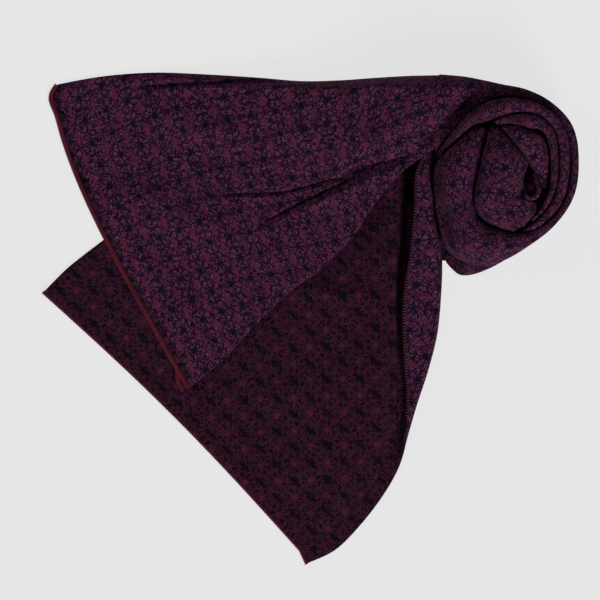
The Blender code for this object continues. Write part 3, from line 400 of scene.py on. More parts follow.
def crease_depth(creases: Sequence[Crease], x: np.ndarray, y: np.ndarray) -> np.ndarray:
    """How far each point is pressed down by the creases near it.

    Args:
        creases: the table of creases.
        x: plan positions.
        y: plan positions, of the same shape.

    Returns:
        The depth at each point, negative on a ridge or a lip.
    """
    total = np.zeros_like(x)
    for crease in creases:
        ends = [(crease.start_x, crease.start_y), (crease.mid_x, crease.mid_y),
                (crease.end_x, crease.end_y)]
        nearest = np.full_like(x, 1e9)
        along = np.zeros_like(x)
        side = np.zeros_like(x)
        for leg, ((ax, ay), (bx, by)) in enumerate(zip(ends, ends[1:])):
            run = hypot(bx - ax, by - ay)
            share = np.clip(((x - ax) * (bx - ax) + (y - ay) * (by - ay)) / run ** 2, 0.0, 1.0)
            away = np.hypot(x - ax - share * (bx - ax), y - ay - share * (by - ay))
            left = ((bx - ax) * (y - ay) - (by - ay) * (x - ax)) / run
            closer = away < nearest
            nearest = np.where(closer, away, nearest)
            along = np.where(closer, (leg + share) / 2.0, along)
            side = np.where(closer, left, side)
        fade = ease(along / 0.3) * ease((1.0 - along) / 0.3)
        trough = crease.depth * np.exp(-(nearest / crease.width) ** 2)
        signed = np.where(side > 0.0, nearest, -nearest)
        lip = crease.lip * np.exp(-((signed + 2.2 * crease.width) / (1.4 * crease.width)) ** 2)
        total += fade * (trough - lip)
    return total


def line_direction(rows: Sequence[NamedTuple], place: float, name: str) -> np.ndarray:
    """Direction in plan of the line that a table's points of one name follow.

    Args:
        rows: the table.
        place: the place in the table, a row's number with a fraction.
        name: the first part of the columns' names, such as fold for fold_x and fold_y.

    Returns:
        A unit vector in plan.
    """
    ahead = row_at(rows, min(place + 0.05, len(rows) - 1.0))
    behind = row_at(rows, max(place - 0.05, 0.0))
    run = np.array([getattr(ahead, name + "_x") - getattr(behind, name + "_x"),
                    getattr(ahead, name + "_y") - getattr(behind, name + "_y")])
    return run / np.hypot(*run)


def arc_length(points: np.ndarray) -> np.ndarray:
    """Distance along a line of points, from the first one.

    Args:
        points: the line's points, in order.

    Returns:
        The distance at each point.
    """
    steps = np.linalg.norm(np.diff(points, axis=0), axis=1)
    return np.concatenate([[0.0], np.cumsum(steps)])


@dataclass(frozen=True)
class SlantMap:
    """The panel's own flat position on a tail that lies straight, its ends at a slant."""

    corner: tuple[float, float]
    bearing: float

    def flat(self, spots: np.ndarray) -> np.ndarray:
        """Flat positions across and along the panel, in millimetres, of plan positions.

        Args:
            spots: plan positions, in millimetres.

        Returns:
            The flat positions.
        """
        away = spots - np.array(self.corner)
        across = np.array([cos(radians(self.bearing)), sin(radians(self.bearing))])
        along = np.array([-across[1], across[0]])
        return np.stack([away @ across, away @ along], axis=-1)


LOWER_SLANT = SlantMap(corner=(-205.0, 20.8), bearing=-43.5)


class Sock:
    """One value on its way through a shader, with the operators that maths needs."""

    def __init__(self, graph: "Graph", socket: bpy.types.NodeSocket) -> None:
        """Hold a node's output.

        Args:
            graph: the material's node tree.
            socket: the output that it holds.
        """
        self.graph = graph
        self.socket = socket

    def maths(self, operation: str, *others: "Sock | float", first: bool = True) -> "Sock":
        """One Math node on this value and others.

        Args:
            operation: the Math node's operation.
            others: the further values.
            first: whether this value comes first.

        Returns:
            The node's result.
        """
        values = [self, *others] if first else [*others, self]
        return self.graph.node("ShaderNodeMath", {"operation": operation}, dict(enumerate(values)))

    def __add__(self, other: "Sock | float") -> "Sock":
        """Sum.

        Args:
            other: the other value.

        Returns:
            The sum.
        """
        return self.maths("ADD", other)

    __radd__ = __add__

    def __mul__(self, other: "Sock | float") -> "Sock":
        """Product.

        Args:
            other: the other value.

        Returns:
            The product.
        """
        return self.maths("MULTIPLY", other)

    __rmul__ = __mul__

    def __sub__(self, other: "Sock | float") -> "Sock":
        """Difference.

        Args:
            other: the other value.

        Returns:
            The difference.
        """
        return self.maths("SUBTRACT", other)

    def __rsub__(self, other: "Sock | float") -> "Sock":
        """Difference from a number.

        Args:
            other: the other value.

        Returns:
            The difference.
        """
        return self.maths("SUBTRACT", other, first=False)

    def __truediv__(self, other: "Sock | float") -> "Sock":
        """Quotient.

        Args:
            other: the other value.

        Returns:
            The quotient.
        """
        return self.maths("DIVIDE", other)

    def __rtruediv__(self, other: "Sock | float") -> "Sock":
        """Quotient of a number.

        Args:
            other: the other value.

        Returns:
            The quotient.
        """
        return self.maths("DIVIDE", other, first=False)

    def __neg__(self) -> "Sock":
        """Opposite.

        Returns:
            The negated value.
        """
        return self.maths("MULTIPLY", -1.0)

    def __abs__(self) -> "Sock":
        """Size without its sign.

        Returns:
            The size.
        """
        return self.maths("ABSOLUTE")

    def below(self, limit: "Sock | float", soft: float) -> "Sock":
        """1 where this is below a limit and 0 above it, softened over a width.

        Args:
            limit: the limit.
            soft: the width of the change.

        Returns:
            The mask.
        """
        return ((limit - self) / soft + 0.5).maths("MINIMUM", 1.0).maths("MAXIMUM", 0.0)

    def either(self, other: "Sock | float") -> "Sock":
        """The greater of two masks.

        Args:
            other: the other value.

        Returns:
            The greater mask.
        """
        return self.maths("MAXIMUM", other)


class Graph:
    """A material's node tree, built one node at a time."""

    def __init__(self, name: str) -> None:
        """Start an empty material.

        Args:
            name: the material's name.
        """
        self.material = bpy.data.materials.new(name)
        self.material.use_nodes = True
        self.tree = self.material.node_tree
        self.tree.nodes.clear()

    def node(self, kind: str, settings: dict | None = None, inputs: dict | None = None,
             output: int | str = 0) -> Sock:
        """Add a node.

        Args:
            kind: the node's type.
            settings: its own properties, set first.
            inputs: numbers, colours or Socks for its sockets, by name or index.
            output: the output that is handed back.

        Returns:
            That output.
        """
        made = self.tree.nodes.new(kind)
        for name, value in (settings or {}).items():
            setattr(made, name, value)
        for key, value in (inputs or {}).items():
            if isinstance(value, Sock):
                self.tree.links.new(value.socket, made.inputs[key])
            else:
                made.inputs[key].default_value = value
        return Sock(self, made.outputs[output])

    def blend(self, share: Sock | float, first: Sock | tuple, second: Sock | tuple) -> Sock:
        """Mix two colours.

        Args:
            share: the second colour's share.
            first: the colour at a share of 0.
            second: the colour at a share of 1.

        Returns:
            The mixed colour.
        """
        return self.node("ShaderNodeMix", {"data_type": "RGBA"},
                         {0: share, 6: first, 7: second}, output=2)

    def finish(self, shader: Sock) -> bpy.types.Material:
        """Link the surface and hand the material back.

        Args:
            shader: the shader.

        Returns:
            The finished material.
        """
        out = self.tree.nodes.new("ShaderNodeOutputMaterial")
        self.tree.links.new(shader.socket, out.inputs["Surface"])
        return self.material


def rgba(colour: tuple[float, float, float]) -> tuple[float, float, float, float]:
    """A linear colour with full alpha.

    Args:
        colour: its linear red, green and blue.

    Returns:
        The colour with its alpha.
    """
    return (*colour, 1.0)


@dataclass(frozen=True)
class Yarns:
    """Linear colours of the yarns as they show on one face."""

    ground: tuple[float, float, float]
    ground_light: tuple[float, float, float]
    line: tuple[float, float, float]
    heart: tuple[float, float, float]
    lozenge: tuple[float, float, float]


RIGHT_YARNS = Yarns(
    ground=(0.0220, 0.0036, 0.0150),
    ground_light=(0.1120, 0.0340, 0.0780),
    line=(0.0042, 0.0021, 0.0112),
    heart=(0.0028, 0.0042, 0.0115),
    lozenge=(0.0960, 0.0150, 0.0370),
)
WRONG_YARNS = Yarns(
    ground=(0.0030, 0.0009, 0.0028),
    ground_light=(0.0320, 0.0110, 0.0250),
    line=(0.0480, 0.0085, 0.0245),
    heart=(0.0720, 0.0105, 0.0310),
    lozenge=(0.0018, 0.0022, 0.0060),
)


@dataclass(frozen=True)
class JacquardFinish:
    """Double-faced jacquard knit with a centred lattice of flowers and lozenges.

    Sizes are in metres on the cloth map. A flower has a round heart, eight spokes and a scalloped
    outline, and a lozenge lies between each four flowers, its long way across the panel.
    """

    yarns: Yarns
    wale: float = 0.00102
    course: float = 0.00096
    cell_across: float = 0.0178
    cell_along: float = 0.0184
    heart_radius: float = 0.0021
    spoke_reach: float = 0.0074
    spoke_half: float = 0.00052
    outline_radius: float = 0.0078
    scallop: float = 0.0013
    outline_half: float = 0.00060
    lozenge_half_long: float = 0.0066
    lozenge_half_wide: float = 0.0016
    edge: float = 0.0006
    relief: float = 0.00050
    sheen: float = 0.040

    def dress(self, name: str) -> bpy.types.Material:
        """Build the material.

        Args:
            name: the material's name.

        Returns:
            The finished material.
        """
        graph = Graph(name)
        flat = graph.node("ShaderNodeUVMap", {"uv_map": CLOTH_MAP})
        across = graph.node("ShaderNodeSeparateXYZ", None, {0: flat}, output=0)
        along = graph.node("ShaderNodeSeparateXYZ", None, {0: flat}, output=1)
        wale = (across / self.wale).maths("FLOOR")
        course = (along / self.course).maths("FLOOR")
        spot_across = (wale + 0.5) * self.wale
        spot_along = (course + 0.5) * self.course
        chance = self.chance(graph, wale, course, 0)
        other = self.chance(graph, wale, course, 2)

        flower, heart = self.flower(spot_across, spot_along)
        lozenge = self.lozenge(spot_across, spot_along)
        bright = chance.below(0.46, 0.5)
        ground = graph.blend(bright, rgba(self.yarns.ground), rgba(self.yarns.ground_light))
        colour = graph.blend(flower * 0.86, ground, rgba(self.yarns.line))
        colour = graph.blend(heart * 0.92, colour, rgba(self.yarns.heart))
        colour = graph.blend(lozenge * 0.90, colour, rgba(self.yarns.lozenge))
        colour = graph.blend(other.below(0.12, 0.02) * 0.55, colour, rgba(self.yarns.line))

        stitch = self.stitch(across, along)
        nap = graph.node("ShaderNodeTexNoise", None, {
            "Vector": graph.node("ShaderNodeTexCoord", output="Object"),
            "Scale": 900.0, "Detail": 2.0, "Roughness": 0.6})
        # The colour is darkened between the knit's loops, which is painted shade of their relief. The nap and
        # each stitch's random draw vary its tone.
        shade = (0.52 + stitch * 0.66) * (0.66 + nap * 0.68) * (0.76 + other * 0.48)
        lit = graph.node("ShaderNodeVectorMath", {"operation": "SCALE"}, {0: colour, "Scale": shade})
        height = stitch * 0.8 + nap * 0.5
        normal = graph.node("ShaderNodeBump", None, {
            "Strength": 0.75, "Distance": self.relief, "Height": height})
        return graph.finish(graph.node("ShaderNodeBsdfPrincipled", None, {
            "Base Color": lit, "Roughness": 0.95, "Specular IOR Level": 0.03,
            "Sheen Weight": self.sheen, "Sheen Roughness": 0.55,
            "Sheen Tint": rgba((0.60, 0.28, 0.48)), "Normal": normal}))

    @staticmethod
    def chance(graph: Graph, wale: Sock, course: Sock, seed: int) -> Sock:
        """An even random number for each stitch.

        Args:
            graph: the material's node tree.
            wale: the stitch's wale number.
            course: the stitch's course number.
            seed: a number for each separate draw.

        Returns:
            A number from 0 to 1.
        """
        place = graph.node("ShaderNodeCombineXYZ", None, {0: wale, 1: course, 2: float(seed)})
        return graph.node("ShaderNodeTexWhiteNoise", {"noise_dimensions": "3D"}, {"Vector": place})

    def off_centre(self, value: Sock, cell: float, shift: float) -> Sock:
        """Distance from the middle of the nearest motif along one way, signed.

        Args:
            value: the value, or an array of them.
            cell: the motif's pitch.
            shift: how far the lattice is moved, in pitches.

        Returns:
            The signed distance, in metres.
        """
        return ((value / cell + (0.5 + shift)).maths("FRACT") - 0.5) * cell

    def flower(self, across: Sock, along: Sock) -> tuple[Sock, Sock]:
        """Masks of a flower's lines and of its heart.

        Args:
            across: position across the panel, in metres.
            along: position along the panel, in metres.

        Returns:
            The mask of the lines and the mask of the heart.
        """
        x = self.off_centre(across, self.cell_across, 0.0)
        y = self.off_centre(along, self.cell_along, 0.0)
        radius = (x * x + y * y).maths("SQRT")
        turn = y.maths("ARCTAN2", x) * 4.0
        spoke = (radius * abs(turn.maths("SINE")) * 0.25).below(self.spoke_half, self.edge)
        spoke = spoke * radius.below(self.spoke_reach, self.edge)
        outline = self.outline_radius + abs(turn.maths("SINE")) * self.scallop
        ring = abs(radius - outline).below(self.outline_half, self.edge)
        return spoke.either(ring), radius.below(self.heart_radius, self.edge)

    def lozenge(self, across: Sock, along: Sock) -> Sock:
        """Mask of the lozenges between the flowers.

        Args:
            across: position across the panel, in metres.
            along: position along the panel, in metres.

        Returns:
            The mask.
        """
        x = self.off_centre(across, self.cell_across, 0.5)
        y = self.off_centre(along, self.cell_along, 0.5)
        reach = abs(x) / self.lozenge_half_long
        width = abs(y) / self.lozenge_half_wide
        return (reach * reach * reach + width * width).below(1.0, 0.3)

    def stitch(self, across: Sock, along: Sock) -> Sock:
        """Height of the knit's slanted loops, from 0 between them to 1 on them.

        Args:
            across: position across the panel, in metres.
            along: position along the panel, in metres.

        Returns:
            The height.
        """
        leg = abs((across / self.wale).maths("FRACT") - 0.5)
        ridge = 1.0 - abs(leg - 0.25) * 3.4
        row = (along / self.course + leg * 1.1).maths("FRACT")
        return ridge * (row * pi).maths("SINE")


@dataclass(frozen=True)
class WoolFinish:
    """Plain wool of one colour, for the rolled rims and the edge stitches."""

    colour: tuple[float, float, float]
    dark: tuple[float, float, float]
    grain: float = 700.0

    def dress(self, name: str) -> bpy.types.Material:
        """Build the material.

        Args:
            name: the material's name.

        Returns:
            The finished material.
        """
        graph = Graph(name)
        place = graph.node("ShaderNodeTexCoord", output="Object")
        fine = graph.node("ShaderNodeTexNoise", None, {
            "Vector": place, "Scale": self.grain, "Detail": 3.0, "Roughness": 0.65})
        broad = graph.node("ShaderNodeTexNoise", None, {
            "Vector": place, "Scale": 60.0, "Detail": 2.0})
        share = (fine * 1.3 + broad * 0.7 - 0.5).maths("MINIMUM", 1.0).maths("MAXIMUM", 0.0)
        colour = graph.blend(share, rgba(self.dark), rgba(self.colour))
        normal = graph.node("ShaderNodeBump", None, {
            "Strength": 0.5, "Distance": 0.0003, "Height": fine})
        return graph.finish(graph.node("ShaderNodeBsdfPrincipled", None, {
            "Base Color": colour, "Roughness": 0.9, "Specular IOR Level": 0.05,
            "Sheen Weight": 0.02, "Sheen Roughness": 0.6, "Normal": normal}))


@dataclass(frozen=True)
class FloorFinish:
    """The plain pale floor, a light table whose own glow leaves only a trace of shadow."""

    colour: tuple[float, float, float] = (0.06, 0.06, 0.06)
    glow: float = 0.728

    def dress(self, name: str) -> bpy.types.Material:
        """Build the material.

        Args:
            name: the material's name.

        Returns:
            The finished material.
        """
        graph = Graph(name)
        return graph.finish(graph.node("ShaderNodeBsdfPrincipled", None, {
            "Base Color": rgba(self.colour), "Roughness": 0.95, "Specular IOR Level": 0.0,
            "Emission Color": rgba((1.0, 1.0, 1.0)), "Emission Strength": self.glow}))


@dataclass
class Palette:
    """The finished materials."""

    right: bpy.types.Material
    wrong: bpy.types.Material
    rim: bpy.types.Material
    rim_core: bpy.types.Material
    edge: bpy.types.Material
    edge_core: bpy.types.Material
    floor: bpy.types.Material

    @classmethod
    def mixed(cls) -> "Palette":
        """Dress every material of the scarf and its floor.

        Returns:
            The palette.
        """
        return cls(
            right=JacquardFinish(RIGHT_YARNS).dress("jacquard_right_side"),
            wrong=JacquardFinish(WRONG_YARNS).dress("jacquard_wrong_side"),
            rim=WoolFinish((0.150, 0.0170, 0.0290), (0.050, 0.0050, 0.0105)).dress("rim_wool"),
            # The rim and edge cores are dark wool: painted shade where they show between the rings.
            rim_core=WoolFinish((0.050, 0.0050, 0.0100), (0.018, 0.0020, 0.0045)).dress("rim_core_wool"),
            edge=WoolFinish((0.090, 0.0240, 0.0560), (0.030, 0.0070, 0.0200)).dress("edge_wool"),
            edge_core=WoolFinish((0.008, 0.0022, 0.0070), (0.003, 0.0009, 0.0030)).dress("edge_core_wool"),
            floor=FloorFinish().dress("pale_floor"),
        )


@dataclass
class Sheet:
    """A grid of points on one stretch of cloth, with its flat position on the panel.

    points has the shape rows x columns x 3; flat, where each point lies on the cut, and pattern,
    where it lies among the flowers, have rows x columns x 2. All are in millimetres.
    """

    name: str
    points: np.ndarray
    flat: np.ndarray
    pattern: np.ndarray
    wall: np.ndarray | None = None
    flip: bool = False

    def loft(self, palette: Palette, outer: Face) -> bpy.types.Object:
        """Make the cloth: the lofted surface with the knit's thickness on its inner side.

        Args:
            palette: the materials.
            outer: the face of the knit that the lofted surface shows.

        Returns:
            A plain mesh object whose inner side shows the knit's other face.
        """
        rows, columns = self.points.shape[:2]
        corner = np.arange(rows * columns).reshape(rows, columns)
        quads = np.stack([corner[:-1, :-1], corner[:-1, 1:], corner[1:, 1:], corner[1:, :-1]], -1)
        quads = quads.reshape(-1, 4)
        if self.flip:
            quads = quads[:, ::-1]
        mesh = bpy.data.meshes.new(self.name)
        mesh.from_pydata((self.points.reshape(-1, 3) * MM).tolist(), [], quads.tolist())
        layer = mesh.uv_layers.new(name=CLOTH_MAP)
        loops = np.array([loop.vertex_index for loop in mesh.loops])
        layer.data.foreach_set("uv", (self.pattern.reshape(-1, 2)[loops] * MM).ravel())
        made = bpy.data.objects.new(self.name, mesh)
        bpy.context.scene.collection.objects.link(made)
        faces = [palette.right, palette.wrong]
        for finish in faces if outer is Face.RIGHT else reversed(faces):
            mesh.materials.append(finish)
        self.thicken(made)
        return made

    def thicken(self, made: bpy.types.Object) -> None:
        """Give the surface its wall, apply it, and keep it above the floor.

        Args:
            made: the object.
        """
        wall = made.modifiers.new("wall", "SOLIDIFY")
        wall.thickness = CLOTH * MM
        wall.offset = -1.0
        wall.material_offset = 1
        if self.wall is not None:
            group = made.vertex_groups.new(name="wall")
            columns = self.points.shape[1]
            for i, share in enumerate(self.wall):
                group.add(list(range(i * columns, (i + 1) * columns)), float(share), "REPLACE")
            wall.vertex_group = group.name
        plain(made)
        for corner in made.data.vertices:
            corner.co.z = max(corner.co.z, 0.0)
        made.data.shade_smooth()

    def cut(self) -> tuple[tuple[float, float], float]:
        """The stretch's cut on the flat panel: its width and length, and its area, in metres.

        Returns:
            The two sizes, and the area.
        """
        across, along = self.flat[..., 0], self.flat[..., 1]
        a = self.flat[1:, 1:] - self.flat[:-1, :-1]
        b = self.flat[1:, :-1] - self.flat[:-1, 1:]
        area = 0.5 * np.abs(a[..., 0] * b[..., 1] - a[..., 1] * b[..., 0]).sum()
        return (float(np.ptp(across)) * MM, float(np.ptp(along)) * MM), float(area) * MM * MM

    def declare(self, made: bpy.types.Object, nodes: Sequence[str]) -> None:
        """Attach the cloth to the body, hide the CAD nodes that it stands for, and log its cut.

        Args:
            made: the object.
            nodes: the CAD nodes that it stands for.
        """
        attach(made, BODY)
        if nodes:
            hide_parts(*nodes)
        size, area = self.cut()
        share = min(max(area / (size[0] * size[1]), 0.3), 1.0)
        share * size[0] * size[1]
        LOG.info("%s: %d faces, cut %.0f x %.0f mm, %.4f m2", made.name, len(made.data.polygons),
                 size[0] / MM, size[1] / MM, area)


def plain(made: bpy.types.Object) -> None:
    """Turn an object with live modifiers into a plain mesh.

    Args:
        made: the object.
    """
    graph = bpy.context.evaluated_depsgraph_get()
    solid = bpy.data.meshes.new_from_object(made.evaluated_get(graph))
    made.modifiers.clear()
    made.data = solid


@dataclass
class UpperTail:
    """The tail on top, right side up, its near side turned under."""

    rows: int = 200
    side: int = 8
    across: int = 164
    turn: int = 10
    tuck: int = 6
    pattern_bow: float = 11.0
    pattern_drift: float = 0.29
    mid_share: float = 0.35
    rim_groove: float = 1.4
    rim_reach: tuple[float, float] = (2.8, 0.2)
    rim_inset: tuple[float, float] = (1.0, 1.9)

    def spot(self, row: Upper, distance: np.ndarray) -> np.ndarray:
        """Plan positions on a line across the tail, at distances from its far side.

        Args:
            row: the table's row.
            distance: distances across the tail from its far side.

        Returns:
            The plan positions.
        """
        top, fold = np.array([row.top_x, row.top_y]), np.array([row.fold_x, row.fold_y])
        across = (fold - top) / np.hypot(*(fold - top))
        share = np.clip(distance / np.hypot(*(fold - top)), 0.0, 1.0)
        bowed = row.bow * np.sin(pi * share ** BOW_LEAN)
        bowed = bowed + (CORNER_BULGE * ease((row.bow - CORNER_BOW) / CORNER_BOW_RUN)
                         * (np.exp(-((distance - CORNER_AT) / CORNER_RUN) ** 2)
                            - CORNER_INSET * np.exp(-(distance / CORNER_TURN) ** 2)))
        return (top + across * distance[..., None]
                + np.array([across[1], -across[0]]) * bowed[..., None])

    def joined(self, place: float, distance: np.ndarray, own: np.ndarray) -> np.ndarray:
        """Heights that turn into the outer turn's own towards the tail's end.

        Args:
            place: the place in the tail's table.
            distance: distances across the tail.
            own: the tail's own heights there.

        Returns:
            The heights to build.
        """
        share = ease((place - SEAM_START) / SEAM_RUN)
        if share <= 0.0:
            return own
        turn = RollTurn("", "", OUTER_TURN)
        profile, width = turn.section(OUTER_TURN[0])
        crown = profile[turn.side:-1]
        reach = np.hypot(crown[:, 0] - OUTER_TURN[0].out_x, crown[:, 1] - OUTER_TURN[0].out_y)
        near = share * ease(distance / JOIN_RUN)
        return own + near * (np.interp(distance, reach, crown[:, 2]) - own)

    def height(self, row: Upper, distance: np.ndarray) -> np.ndarray:
        """Heights of the tail's top side at distances across it, before any crease.

        Args:
            row: the table's row.
            distance: distances across the tail from its far side.

        Returns:
            The height at each distance.
        """
        length = hypot(row.fold_x - row.top_x, row.fold_y - row.top_y)
        share = distance / length
        tuck_start = 1.0 - row.tuck / length
        on_lower = 0.30 + 0.12 * ease((row.top_x + 196.0) / 120.0)
        layers = ON_FLOOR + (ON_LOWER_TAIL - ON_FLOOR) * ease((share - on_lower) / 0.10)
        layers = layers + (ON_TUCK - ON_LOWER_TAIL) * ease((share - tuck_start + 0.11) / 0.08)
        lift = row.lift_far + (row.lift_fold - row.lift_far) * ease((share - 0.12) / 0.86)
        if row.lift_fold > row.lift_far:
            lift = row.lift_fold * ease((share - tuck_start + 0.09) / 0.08)
        return layers + lift

    def section(self, place: float) -> tuple[np.ndarray, np.ndarray]:
        """Points across the tail and their distances across it with the folds opened out.

        Args:
            place: the place in the table, a row's number with a fraction.

        Returns:
            The points, and the opened distances.
        """
        row = row_at(UPPER_TAIL, place)
        run = line_direction(UPPER_TAIL, place, "fold")
        across = np.array([row.fold_x - row.top_x, row.fold_y - row.top_y])
        length = np.hypot(*across)
        squareness = abs(across[0] * run[1] - across[1] * run[0]) / length
        reach = row.fold_r / squareness
        flat_end = length - reach

        ridge = self.height(row, np.array([row.slope]))[0]
        angle = 0.5 * pi * np.arange(self.side) / self.side
        rise = row.slope * (1.0 - np.cos(angle))
        slope = np.column_stack([
            self.spot(row, rise),
            self.joined(place, rise, row.foot + (ridge - row.foot) * np.sin(angle))])
        level = np.linspace(row.slope, flat_end, self.across)
        top = np.column_stack([self.spot(row, level), self.joined(place, level, self.height(row, level))])
        for part, distance in ((slope, rise), (top, level)):
            calm = ease((length - distance) / 14.0) * ease(distance / 3.0) * ease(place / END_CALM)
            part[:, 2] -= calm * crease_depth(UPPER_CREASES, part[:, 0], part[:, 1])
            part[:, 2] = np.maximum(part[:, 2], min(row.foot, 1.0))
        middle = top[-1, 2] - row.fold_r
        angle = 0.5 * pi - pi * np.arange(1, self.turn + 1) / self.turn
        bend = np.column_stack([self.spot(row, flat_end + reach * np.cos(angle)),
                                middle + row.fold_r * np.sin(angle)])
        back = flat_end - (row.tuck - reach) * np.arange(1, self.tuck + 1) / self.tuck
        droop = (TUCK_DROOP * ease((row.lift_fold - DROOP_FROM) / DROOP_RUN)
                 * np.arange(1, self.tuck + 1) / self.tuck)
        under = np.column_stack([self.spot(row, back), self.joined(place, back, self.height(row, back))
                                 - 2.0 * row.fold_r - droop])

        points = np.vstack([slope, top, bend, under])
        arc = arc_length(np.vstack([slope, top[:1]]))
        opened = np.concatenate([
            row.slope - (arc[-1] - arc[:-1]), level,
            flat_end + pi * row.fold_r * np.arange(1, self.turn + 1) / self.turn,
            flat_end + pi * row.fold_r + (flat_end - back)])
        return points, opened

    def build(self, palette: Palette) -> bpy.types.Object:
        """Args:
            palette: the materials.

        Returns:
            The tail's cloth.
        """
        places = np.linspace(0.0, len(UPPER_TAIL) - 1.0, self.rows)
        made = [self.section(place) for place in places]
        table = [row_at(UPPER_TAIL, place) for place in places]
        points = np.array([points for points, _ in made])
        opened = np.array([opened for _, opened in made])
        lengths = np.array([hypot(row.fold_x - row.top_x, row.fold_y - row.top_y) for row in table])
        middles = np.array([self.spot(row, np.array([self.mid_share * length]))[0]
                            for row, length in zip(table, lengths)])
        along = arc_length(middles)
        missing = np.array([self.pattern_bow - min(row.bow, self.pattern_bow) for row in table])
        share = np.clip(opened / lengths[:, None], 0.0, 1.0)
        bowed = along[:, None] + missing[:, None] * np.sin(pi * share ** BOW_LEAN)
        pattern = np.stack([opened + self.pattern_drift * along[:, None], bowed], -1)
        flat = np.stack([opened, np.broadcast_to(along[:, None], opened.shape)], -1)
        points, flat, pattern = (self.below_turn(self.behind_rim(grid)) for grid in (points, flat, pattern))
        sheet = Sheet("upper_tail_cloth", points, flat, pattern)
        cloth = sheet.loft(palette, Face.RIGHT)
        sheet.declare(cloth, ["upper_tail"])
        return cloth

    def behind_rim(self, grid: np.ndarray) -> np.ndarray:
        """Carry a grid on to below the rim, with a narrow groove beside it.

        Args:
            grid: rows of points, or of flat positions.

        Returns:
            The longer grid.
        """
        step = (grid[:1] - grid[1:2]) / np.linalg.norm(grid[:1] - grid[1:2], axis=2).mean()
        outward = [grid[:1] + reach * step for reach in self.rim_reach]
        inward = [grid[:1] - reach * step for reach in self.rim_inset]
        whole = np.concatenate([*outward, *inward, grid[2:]])
        if grid.shape[2] == 3:
            whole[0, :, 2] -= 2.0 * self.rim_groove
            whole[1, :, 2] -= self.rim_groove
            whole[2, :, 2] -= 0.4 * self.rim_groove
        return whole

    def below_turn(self, grid: np.ndarray) -> np.ndarray:
        """Carry a grid on below the outer turn, past the table's last line.

        Args:
            grid: rows of points, or of flat positions.

        Returns:
            The longer grid.
        """
        step = (grid[-1:] - grid[-2:-1]) / np.linalg.norm(grid[-1:] - grid[-2:-1], axis=2).mean()
        beyond = grid[-1:] + TAIL_LEAD * step
        if grid.shape[2] == 3:
            beyond[..., 2] = grid[-1:, :, 2] - TAIL_DIP
        return np.concatenate([grid, beyond])

    def rim_line(self, tucked: bool) -> np.ndarray:
        """Middle line of the end's rolled rim, or of its tucked stretch.

        Args:
            tucked: whether to give the tucked stretch.

        Returns:
            The line, in millimetres.
        """
        row = UPPER_TAIL[0]
        length = hypot(row.fold_x - row.top_x, row.fold_y - row.top_y)
        first, last = (length - 0.5, length - row.tuck) if tucked else (RIM_START, length - 1.0)
        steps = 20 if tucked else 90
        distance = first + (last - first) * (np.arange(steps + 1) / steps) ** 1.5
        spots = self.spot(row, distance)
        along = self.spot(row, distance + 1.5) - self.spot(row, distance - 1.5)
        along /= np.hypot(along[:, 0], along[:, 1])[:, None]
        outward = np.column_stack([along[:, 1], -along[:, 0]])
        if tucked:
            peep = 4.4 * (1.0 - ease((length - distance - 6.5) / 13.0))
            spots = spots + outward * (HEM_RADIUS + HEM_GAP + peep)[:, None]
            return np.column_stack([spots, np.full(len(spots), 4.3)])
        on_tuck = ease((distance - length + row.tuck + 14.0) / 12.0)
        resting = np.maximum(HEM_RADIUS, self.height(row, distance) - 0.6)
        height = resting + (8.4 - resting) * on_tuck
        return np.column_stack([spots + outward * (HEM_RADIUS + 0.5 * HEM_GAP), height])


